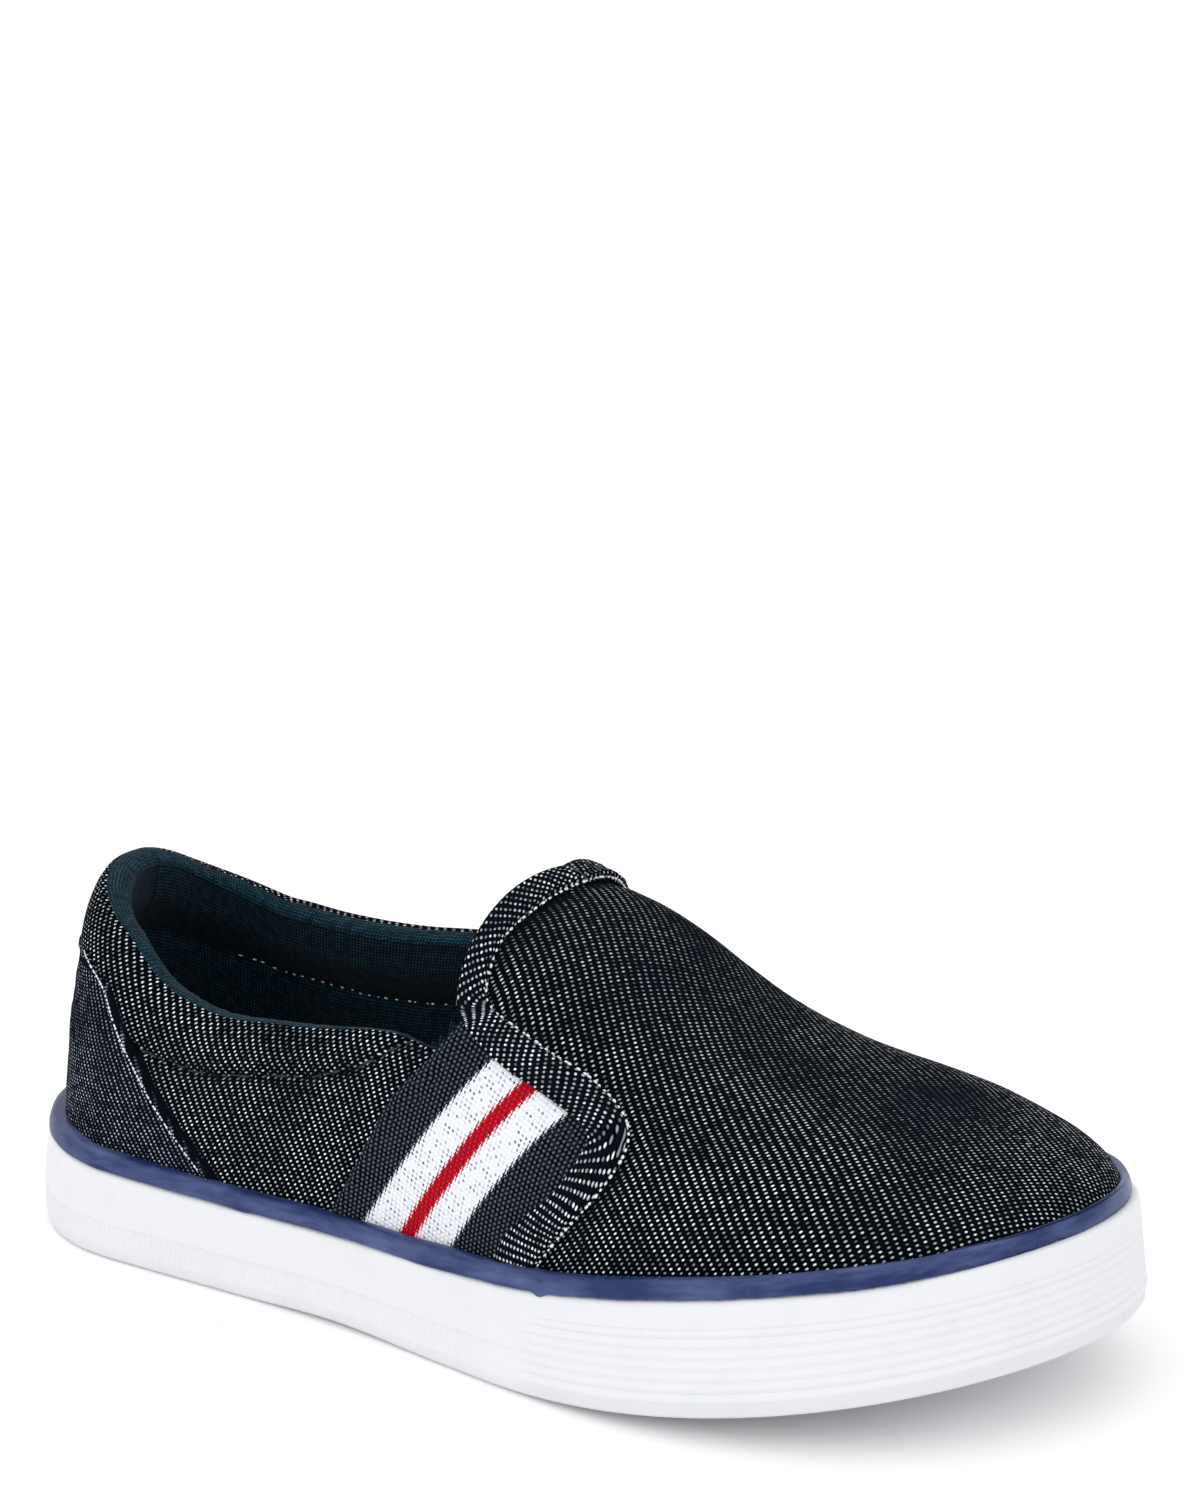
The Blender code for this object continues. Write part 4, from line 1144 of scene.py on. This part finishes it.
def makeQuarters():
    count, rows = quarter["columns"], quarter["rows"]
    turn = np.linspace(-1, 1, count)         # inner front edge, heel, outer front edge
    side = np.where(turn < 0, medial, lateral)
    foot, top = np.abs(turn) * quarter["frontFoot"], np.abs(turn) * quarter["frontTop"]
    topline = bothSides(collar, side, alongOf(top)) * last["collarHeight"]
    topline = topline + bothSides(trim, side, top, "station") * mm
    climb = np.linspace(0, 1, rows)[:, None]
    station = foot + (top - foot) * climb
    degrees = angleAt(top, side, topline) * climb
    point, normal = surface(station, degrees, side)
    below = lengthAlong(point)
    below = below[-1] - below
    stitchAngle = lookUp(topstitch, "angle", station, "station")
    stitchRow = np.abs(degrees - stitchAngle).argmin(0)
    columns = np.arange(count)
    stitchBelow = below[stitchRow, columns]
    fromStitch = below - stitchBelow
    plump = ease((quarter["frontTop"] - top) / (quarter["frontTop"] - quarter["thinFrom"]))
    wall = quarter["wall"] + (quarter["collarWall"] - quarter["wall"]) * plump
    around = lengthAlong(point[40])
    around = np.broadcast_to(around - around.mean(), below.shape)
    # outer cloth: padded above the stitches, puckered beside them
    share = np.clip(below / np.maximum(stitchBelow, 1 * mm), 0, 1)
    bulge = quarter["bulge"] * plump * np.sin(np.pi * share**0.8)**0.8
    pull = np.sin(around / quarter["stitch"] * 2 * np.pi) * np.exp(-np.abs(fromStitch) / (2.2 * mm))
    offset = bulge - quarter["groove"] * bell(fromStitch, 0.65 * mm) * (0.75 + 0.5 * pull)
    pucker = quarter["pucker"] * np.exp(-np.abs(fromStitch) / (4.5 * mm))
    offset = offset + pucker * wander(around, below, 4.2 * mm, 21)
    raised = ease((1 - below / below.max(0)) / 0.2)
    offset = offset + quarter["wobble"] * wander(around, below, 15 * mm, 22) * raised
    upPatch = patchUp(point)
    front = smoothCurve(np.clip(upPatch, 0, 1), patchFront["up"], patchFront["station"])
    past = (station - front) * np.pi * 0.5 * last["length"] * np.sin(np.pi * np.clip(station, 0.05, 0.95))
    valley = bell(past - 0.4 * mm, 0.5 * mm) * (upPatch < 1.0)
    offset = offset - quarter["valley"] * valley
    outer = point + normal * offset[..., None]
    # the roll over the topline, out to in
    innerTop = point[-1] - normal[-1] * wall[:, None]
    rise = unit(point[-1] - point[-4])
    centre = (outer[-1] + innerTop) / 2
    reach = outer[-1] - innerTop
    lift = quarter["rollHeight"] * np.linalg.norm(reach, axis=1) / quarter["collarWall"]
    ends = quarter["rimOuter"] + (quarter["rimInner"] - quarter["rimOuter"]) * ease((0.02 - turn) / 0.1)
    ends = np.radians(ends)

    def rollAt(angle):
        return centre + reach / 2 * np.cos(angle)[:, None] + rise * (lift * np.sin(angle)**0.9)[:, None]

    steps = np.linspace(0, 1, quarter["rollRows"] + 1)
    outerRows = np.concatenate([outer, np.stack([rollAt(ends * k) for k in steps[1:]])])
    rimRows = np.stack([rollAt(ends - 0.12 + (math.pi - 0.02 - ends + 0.12) * k) for k in steps])
    plan = pairs(around[0], lengthAlong(point))
    flat = turned(flatPattern(point, plan), 45, 400, (0, 4), quarter["grain"])
    over = lengthAlong(outerRows[rows - 1:])[1:, :, None]
    flat = np.concatenate([flat, flat[-1] + unit(flat[-1] - flat[-4]) * over])
    # painted shade: no white shows along the topstitch groove, nor under the heel patch and in a painted
    # shadow just in front of its edge
    grooveShade = 0.9 * np.exp(-np.abs(fromStitch) / (1.5 * mm))
    grooveShade = grooveShade * (0.45 + 0.55 * wander(around, below, 3 * mm, 24))
    patchShadow = ease((0.8 * mm - past) / (0.4 * mm)) * (upPatch < 0.97)
    shadeAndWear = np.zeros(outerRows.shape[:2])
    shadeAndWear[:rows] = np.clip(np.maximum(grooveShade, patchShadow), 0, 1)
    made = addGrid("quarters", outerRows, vampDenim, "upper",
                   {"cloth": flat, "shadeAndWear": shadeAndWear}, inner=insideCollar)
    # lining: rim over the inner half of the roll, then down the inside
    depth = below[::-1]
    pad = ease(np.clip(1 - depth / quarter["padDepth"], 0, 1) * 1.6)
    dent = quarter["liningDent"] * bell(depth - quarter["liningSeam"], 1.1 * mm)
    thick = quarter["wall"] + (wall - quarter["wall"]) * pad - dent * plump
    thick = thick + 0.15 * mm * wander(around, depth, 6 * mm, 25)
    inner = point[::-1] - normal[::-1] * thick[..., None]
    rimRows = np.concatenate([rimRows, inner[:1]])
    rimRows[0] -= rise * 0.3 * mm
    fuzz = 0.12 * mm * wander(around[:1], np.arange(len(rimRows))[:, None] * mm, 0.8 * mm, 26)
    rimRows = rimRows + rise * fuzz[..., None]
    for name, grid, finish in (("collarrim", rimRows, litRimCanvas), ("collarlining", inner, shadedLiningCanvas)):
        addGrid(name, grid, finish, "upper",
                {"cloth": pairs(around[0], lengthAlong(grid))},
                inner=insideCollar, flip=name == "collarlining")
    innerRow = np.abs(depth - quarter["liningSeam"]).argmin(0)
    outerStitch = (outer[stitchRow, columns], normal[stitchRow, columns])
    return outerStitch, (inner[innerRow, columns], -normal[::-1][innerRow, columns])


def patchUp(point):                      # 0 at the top of the stripe, 1 at the top of the heel patch
    bottom = rimHeight(point[..., 0]) + stripe["height"]
    return (point[..., 2] - bottom) / (patchTop * last["collarHeight"] - bottom)


outerStitch, innerStitch = makeQuarters()
print("quarters and collar made")

lining = {
    "start": 0.43,
    "rows": 130,
    "columns": 50,
    "depth": 2 * mm,
    "tabFrom": 41,            # degrees, where its edge starts to follow the tab
    # station and degrees of its back edge behind the tape
    "behind": [(0.3, -5), (0.418, -5), (0.444, 13.5), (0.459, 22), (0.476, 30.5), (0.490, 38)],
}


def makeVampLining():
    station, degrees, side = overToe(lining["start"], lining["rows"], lining["columns"])
    points = lifted(station, degrees, side, -lining["depth"])
    tab = [(s, a) for s, a in zip(*bindingLine("edge", 60)) if a > lining["tabFrom"]]
    opening = lining["behind"] + tab + [(tab[-1][0], 95), (0.3, 95)]
    addGrid("vamplining", points, shadedLiningCanvas, "upper",
            {"cloth": pairs(points[..., 0], lengthAlong(points, axis=1))},
            inner=insideToe, flip=True, keep=outsideLoop(opening, station, degrees))


makeVampLining()

insole = {
    "rows": 40,
    "columns": 260,
    "inset": 1.9 * mm,        # from the foot of the upper
    "dish": 1.6 * mm,
    "thickness": 3.3 * mm,
    "skirt": 3 * mm,
}


def makeInsole():
    station, side, run = roundShoe(insole["columns"])
    outer = insetOutline(station, side, edgeInset(station, "upper") + insole["inset"])
    share = np.linspace(0, 1, insole["rows"])[:, None, None]
    plan = outer * (1 - share) + pairs(spineX(outer[:, 0]), 0 * run) * share
    z = floorHeight(plan[..., 0]) + insole["thickness"] + insole["dish"] * (1 - share[..., 0])**3
    z = z + 0.3 * mm * wander(plan[..., 0], plan[..., 1], 22 * mm, 31)
    points = np.concatenate([plan, z[..., None]], -1)
    points = np.concatenate([points[:1] - (0, 0, insole["skirt"]), points])
    made = addGrid("insolesock", points, shadedSockCanvas, "insole", {"cloth": points},
                   inner=(0, 0, 0), closed=True)


makeInsole()
print("lining and insole made")

gore = {
    "columns": 170,
    "rows": 150,
    "slant": 0.085,           # the stripes lean a little more than the tape's back edge
    "frontTuck": 0.08,        # how far it runs on under the binding, as a share of its width
    "topTuck": 0.09,
    "backLift": 0.75 * mm,    # it lies on the quarter
    "frontLift": 0.05 * mm,
    "backFade": 0.14,         # share of the width over which it comes down
    "hem": 0.35 * mm,
    "pearl": 0.07 * mm,       # rise of each thread crown
    "wobble": 0.12 * mm,
    "dents": ((0.085, 0.62), (0.055, 0.48), (0.07, 0.76)),    # across and up
    "dentDepth": 0.4 * mm,
    "skirt": 1.1 * mm,        # the back edge goes down into the quarter
}


def makeGore(name, side, node):
    across = np.linspace(0, 1 + gore["frontTuck"], gore["columns"])[None]
    up = np.linspace(0, 1 + gore["topTuck"], gore["rows"])[:, None]
    grids = []
    for kind in ("Station", "Angle"):
        back = smoothCurve(up, goreSides["up"], goreSides["back" + kind])
        front = smoothCurve(up, goreSides["up"], goreSides["front" + kind])
        top = smoothCurve(across, goreTop["across"], goreTop[kind])
        ends = goreTop[kind][[0, -1]]
        grids.append(back + (front - back) * across + up * (top - ends[0] - (ends[1] - ends[0]) * across))
    point, normal = surface(*grids, side)
    flat = turned(flatPattern(point, point[..., [0, 2]]), 75, 40, (4, 0), 90)
    flat = flat if side < 0 else flat * (-1, 1)
    (a, c), (b, d) = tapeSizes["first"], tapeSizes["second"]
    area = a * d - b * c
    i = (d * flat[..., 0] - b * flat[..., 1]) / area
    j = (-c * flat[..., 0] + a * flat[..., 1]) / area
    pearl = np.cos(np.pi * (i - np.round(i))) * np.cos(np.pi * (j - np.round(j)))
    lift = gore["frontLift"] + (gore["backLift"] - gore["frontLift"]) * np.exp(-across / gore["backFade"])
    lift = lift - gore["hem"] * (1 - ease(across / 0.03))
    lift = lift + 0.2 * mm * bell(across - 0.035, 0.02)
    lift = lift + gore["pearl"] * pearl + gore["wobble"] * wander(flat[..., 0], flat[..., 1], 7 * mm, 41)
    for place, height in gore["dents"]:
        lift = lift - gore["dentDepth"] * bell(across - place, 0.022) * bell(up - height, 0.028)
    points = point + normal * lift[..., None]
    points = np.concatenate([points[:, :1] - normal[:, :1] * gore["skirt"], points], 1)
    # the stripes run along the back edge and lean a little forward
    ends = [0, round((gore["rows"] - 1) / (1 + gore["topTuck"]))]
    backEdge = np.polyfit(flat[ends, 0, 1], flat[ends, 0, 0], 1)
    shares = np.abs(flat[..., 0] - np.polyval(backEdge, flat[..., 1])) / tapeSizes["span"]
    shares = shares + gore["slant"] * (0.42 - np.clip(up, 0, 1))
    shares = np.concatenate([shares[:, :1], shares], 1)
    flat = np.concatenate([flat[:, :1], flat], 1)
    addGrid(name, points, tape, node, {"cloth": flat, "across": shares},
            inner=(0, 0, 25 * mm))


makeGore("gorelateral", lateral, "gore_lateral")
makeGore("goremedial", medial, "gore_medial")
print("gores made")

strip = {
    "rows": 300,              # up one side
    "across": 22,
    "thickness": 1.0 * mm,
    "crown": 0.25 * mm,
    "tabWrap": 1.5 * mm,      # radius of its turned edge round the tab
    "sideWrap": 0.5 * mm,     # and down the front of the tape
    "hem": 3 * mm,            # how far the tab's wrap runs on inside
    "fold": 0.22 * mm,        # ridge beside the seam
    "crimp": 0.16 * mm,
}


def makeBinding():
    count = strip["rows"]
    seam, edgeOf = bindingLine("seam", count), bindingLine("edge", count)
    onTab = ease((np.linspace(0, 1, count) - 0.60) / 0.06)
    wrap = strip["sideWrap"] + (strip["tabWrap"] - strip["sideWrap"]) * onTab
    across = np.linspace(0, 1, strip["across"])[None]
    grids, flats, seams = [], [], []
    for side in (lateral, medial):
        station, degrees = (e[:, None] * (1 - across) + s[:, None] * across for e, s in zip(edgeOf, seam))
        point, normal = surface(station, degrees, side)
        length = lengthAlong(point[:, 10])
        height = strip["thickness"] * ease((1.02 - across) / 0.09)**0.6
        height = height + strip["crown"] * np.sin(np.pi * across) - crestDrop(station, degrees)
        ripple = strip["crimp"] * wander(length[:, None], across * 5 * mm, 1.9 * mm, 51)
        ripple = ripple + 0.1 * mm * wander(length[:, None], across * 5 * mm, 0.8 * mm, 52)
        fold = strip["fold"] * bell(across - 0.88, 0.07)
        top = point + normal * (height + fold + ripple * ease(across / 0.1))[..., None]
        top[:, -1] -= normal[:, -1] * 0.2 * mm
        # the rolled edge, from the inside up to the top
        outward = unit(point[:, 0] - point[:, 3])
        first = normal[:, 0]
        sunk = strip["thickness"] - wrap - crestDrop(station[:, 0], degrees[:, 0])
        centre = point[:, 0] + first * sunk[:, None]
        rolled = [centre + (outward * 0.45 * math.sin(a) + first * math.cos(a)) * wrap[:, None]
                  for a in np.linspace(math.pi, 0, 9)[:-1]]
        inner = rolled[0] - outward * strip["hem"] * onTab[:, None]
        rows = np.concatenate([inner[:, None], np.stack(rolled, 1), top], 1)
        # the cloth runs along the strip and across it
        band = unit(np.gradient(point[:, 10], axis=0))[:, None]
        step = np.diff(rows, axis=1)
        onward = (step * band).sum(-1)
        sideways = np.sqrt(np.maximum((step**2).sum(-1) - onward**2, 0))
        u, v = (np.pad(np.cumsum(way, 1), ((0, 0), (1, 0))) for way in (onward, sideways))
        u = length[:, None] + u
        grids.append(rows)
        flats.append(pairs(u, -v) if side < 0 else pairs(2 * length[-1] - u, v))
        seamPoint, seamNormal = surface(*seam, side)
        seams.append((seamPoint + seamNormal * (0.35 * mm - crestDrop(*seam)[:, None]), seamNormal))
    grids[0][-1] = (grids[0][-1] + grids[1][-1]) / 2
    points, flat = (np.concatenate([halves[0], halves[1][::-1][1:]]) for halves in (grids, flats))
    shadeAndWear = np.clip(0.4 * wander(flat[..., 0], flat[..., 1], 2.5 * mm, 53), 0, 0.4)
    shadeAndWear[:, 13:17] = np.maximum(shadeAndWear[:, 13:17], 0.35)
    addGrid("throatbinding", points, bindingDenim, "throat_binding",
            {"cloth": flat, "shadeAndWear": shadeAndWear}, inner=(10 * mm, 0, 20 * mm))
    return seams


bindingSeams = makeBinding()
print("binding made")

patch = {
    "columns": 241,
    "rows": 70,
    "lift": 0.35 * mm,
    "thickness": 0.6 * mm,
    "fold": 0.35 * mm,        # the turned edge is thicker
    "wobble": 0.15 * mm,
    "ripple": 0.08 * mm,
    "sideSkirt": 1.4 * mm,    # its edges go down into the cloth below
    "topSkirt": 1.2 * mm,
    "grain": 10,              # degrees from level to the weft
}


def makeHeelPatch():
    turn = np.linspace(-1, 1, patch["columns"])[None]
    up = np.linspace(-0.09, 1, patch["rows"])[:, None]
    station = np.abs(turn) * smoothCurve(np.clip(up, 0, 1), patchFront["up"], patchFront["station"])
    side = np.where(turn < 0, medial, lateral) * np.ones_like(up)
    bottom = rimHeight(surface(station, 0, side)[0][..., 0]) + stripe["height"]
    degrees = angleAt(station, side, bottom + (patchTop * last["collarHeight"] - bottom) * up)
    point, normal = surface(station, degrees, side)
    around = lengthAlong(point, axis=1)
    around = around - around[:, -1:] / 2
    climb = lengthAlong(point)
    fromEdge = np.minimum(np.abs(around[:, -1:]) - np.abs(around), (1 - up) * 28 * mm)
    lift = patch["lift"] + patch["thickness"] * ease(fromEdge / (0.5 * mm) + 0.15)**0.7
    lift = lift + patch["fold"] * bell(fromEdge - 0.7 * mm, 0.6 * mm)
    lift = lift + patch["wobble"] * wander(around, climb, 6 * mm, 61)
    lift = lift + patch["ripple"] * wander(around, climb, 1.6 * mm, 62)
    points = point + normal * lift[..., None]
    skirt = points[:, [0, -1]] - normal[:, [0, -1]] * patch["sideSkirt"]
    full = np.concatenate([skirt[:, :1], points, skirt[:, 1:]], 1)
    wide = np.concatenate([normal[:, :1], normal, normal[:, -1:]], 1)
    full = np.concatenate([full, full[-1:] - wide[-1:] * patch["topSkirt"]])
    flat = turned(flatPattern(points, pairs(around[30], climb), 800), 35, 180, (0, 4), patch["grain"])
    flat = np.pad(flat, ((0, 1), (1, 1), (0, 0)), "edge")
    shadeAndWear = np.clip(0.35 * wander(flat[..., 0], flat[..., 1], 5 * mm, 63), 0, 0.5)
    shadeAndWear[:, [0, 1, -2, -1]] = 1        # painted shade: the edge columns and the skirts, which go down into the gap round the patch, show no weft
    shadeAndWear[-1] = 1
    addGrid("heelpatch", full, patchDenim, "heel_counter", {"cloth": flat, "shadeAndWear": shadeAndWear},
            inner=(-50 * mm, 0, 25 * mm))
    return [(points[:, column], normal[:, column]) for column in (-3, 2)]


patchEdges = makeHeelPatch()
print("heel patch made")

# Stitches: short rounded runs of thread along a line

# spacing, length and width in mm, start and end as shares of the line, sink as a share of the width
stitches = table("spacing length width jitter seed start end sink", [
    (1.3, 0.6, 0.46, 0.25, 71, 0.60, 1.0, 0.25),      # round the tab
    (1.1, 0.62, 0.48, 0.3, 72, 0.0, 0.60, 0.1),       # specks down the strip's front seam
    (0.66, 0.46, 0.34, 0.25, 73, 0.08, 0.97, 0.1),    # specks at the heel patch
    (2.4, 1.8, 0.45, 0.08, 74, 0.02, 0.98, 0.1),      # topstitch under the collar
    (1.9, 0.6, 0.28, 0.3, 75, 0.02, 0.38, 0.1),       # lining seam
])


def stitchForm(across, around):          # one stitch, rounded at its ends, one unit long and wide
    polar = np.linspace(0, np.pi, across)[:, None]
    turn = np.linspace(0, 2 * np.pi, around, endpoint=False)
    width = np.sin(polar)**0.7
    form = np.stack([np.cos(polar) * np.ones(around), width * np.cos(turn), width * np.sin(turn)], -1)
    return form.reshape(-1, 3) / 2, gridFaces(across, around, closed=True)


def sewLine(name, lines, finish, row):
    spacing, length, width, jitter, seed, start, end, sink = (stitches[key][row] for key in stitches)
    spacing, length, width = spacing * mm, length * mm, width * mm
    rng = np.random.default_rng(int(seed))
    form, base = stitchForm(7, 8)
    points, faces = [], []
    for line, normals in lines:
        run = lengthAlong(line)

        def at(place, values):
            return np.array([np.interp(place, run, values[:, k]) for k in range(3)])

        for place in np.arange(run[-1] * start + spacing / 2, run[-1] * end, spacing):
            place = place + rng.uniform(-jitter, jitter) * spacing
            size = rng.uniform(1 - jitter, 1 + jitter * 0.5)
            spot = at(place, line)
            normal = unit(at(place, normals))
            way = unit(at(place + 0.3 * mm, line) - spot)
            body = form * (length * size, width * size, width * size * 0.8)
            shape = spot + body[:, :1] * way + body[:, 1:2] * np.cross(normal, way) + body[:, 2:] * normal
            faces.append(base + len(points) * len(form))
            points.append(shape + normal * width * (0.4 - sink))
    addPiece(name, np.concatenate(points), np.concatenate(faces), finish)


sewLine("tabstitches", bindingSeams, whiteThread, 0)
sewLine("sideedgespecks", bindingSeams, whiteThread, 1)
sewLine("patchedgespecks", patchEdges, whiteThread, 2)
sewLine("collartopstitch", [outerStitch], navyThread, 3)
sewLine("liningstitches", [innerStitch], whiteThread, 4)
print("stitches made")

# Plain floor and soft studio light

studio = {
    "floor": "#fbfbfb",
    "sky": 1.15,
    "key": 2.2,               # watts
    "fill": 0.66,
}


def makeStudio():
    mesh = bpy.data.meshes.new("floor")
    corners = [(-4, -4, 0), (4, -4, 0), (4, 4, 0), (-4, 4, 0)]
    mesh.from_pydata(corners, [], [(0, 1, 2, 3)])
    values = {"Roughness": 0.9, "Specular IOR Level": 0.1}
    floorPaint, _, shader = newMaterial("paint, matt white floor", values)
    shader.inputs["Base Color"].default_value = linear(studio["floor"])
    mesh.materials.append(floorPaint)
    floor = bpy.data.objects.new("floor", mesh)
    bpy.context.scene.collection.objects.link(floor)
    world = bpy.data.worlds.new("studio")
    world.use_nodes = True
    sky = world.node_tree.nodes["Background"].inputs
    sky[0].default_value = (1, 1, 1, 1)
    sky[1].default_value = studio["sky"]
    bpy.context.scene.world = world
    for name, place, size, power in (
            ("key", (-0.2, -1.1, 0.6), 0.9, studio["key"]),
            ("fill", (0.9, -0.6, 0.5), 0.8, studio["fill"])):
        data = bpy.data.lights.new(name, "AREA")
        data.size = size
        data.energy = power
        lamp = bpy.data.objects.new(name, data)
        lamp.location = place
        lamp.rotation_euler = (Vector((0, 0, 0.03)) - Vector(place)).to_track_quat("-Z", "Y").to_euler()
        bpy.context.scene.collection.objects.link(lamp)
    bpy.context.scene.view_settings.view_transform = "Standard"


makeStudio()
print("studio made")
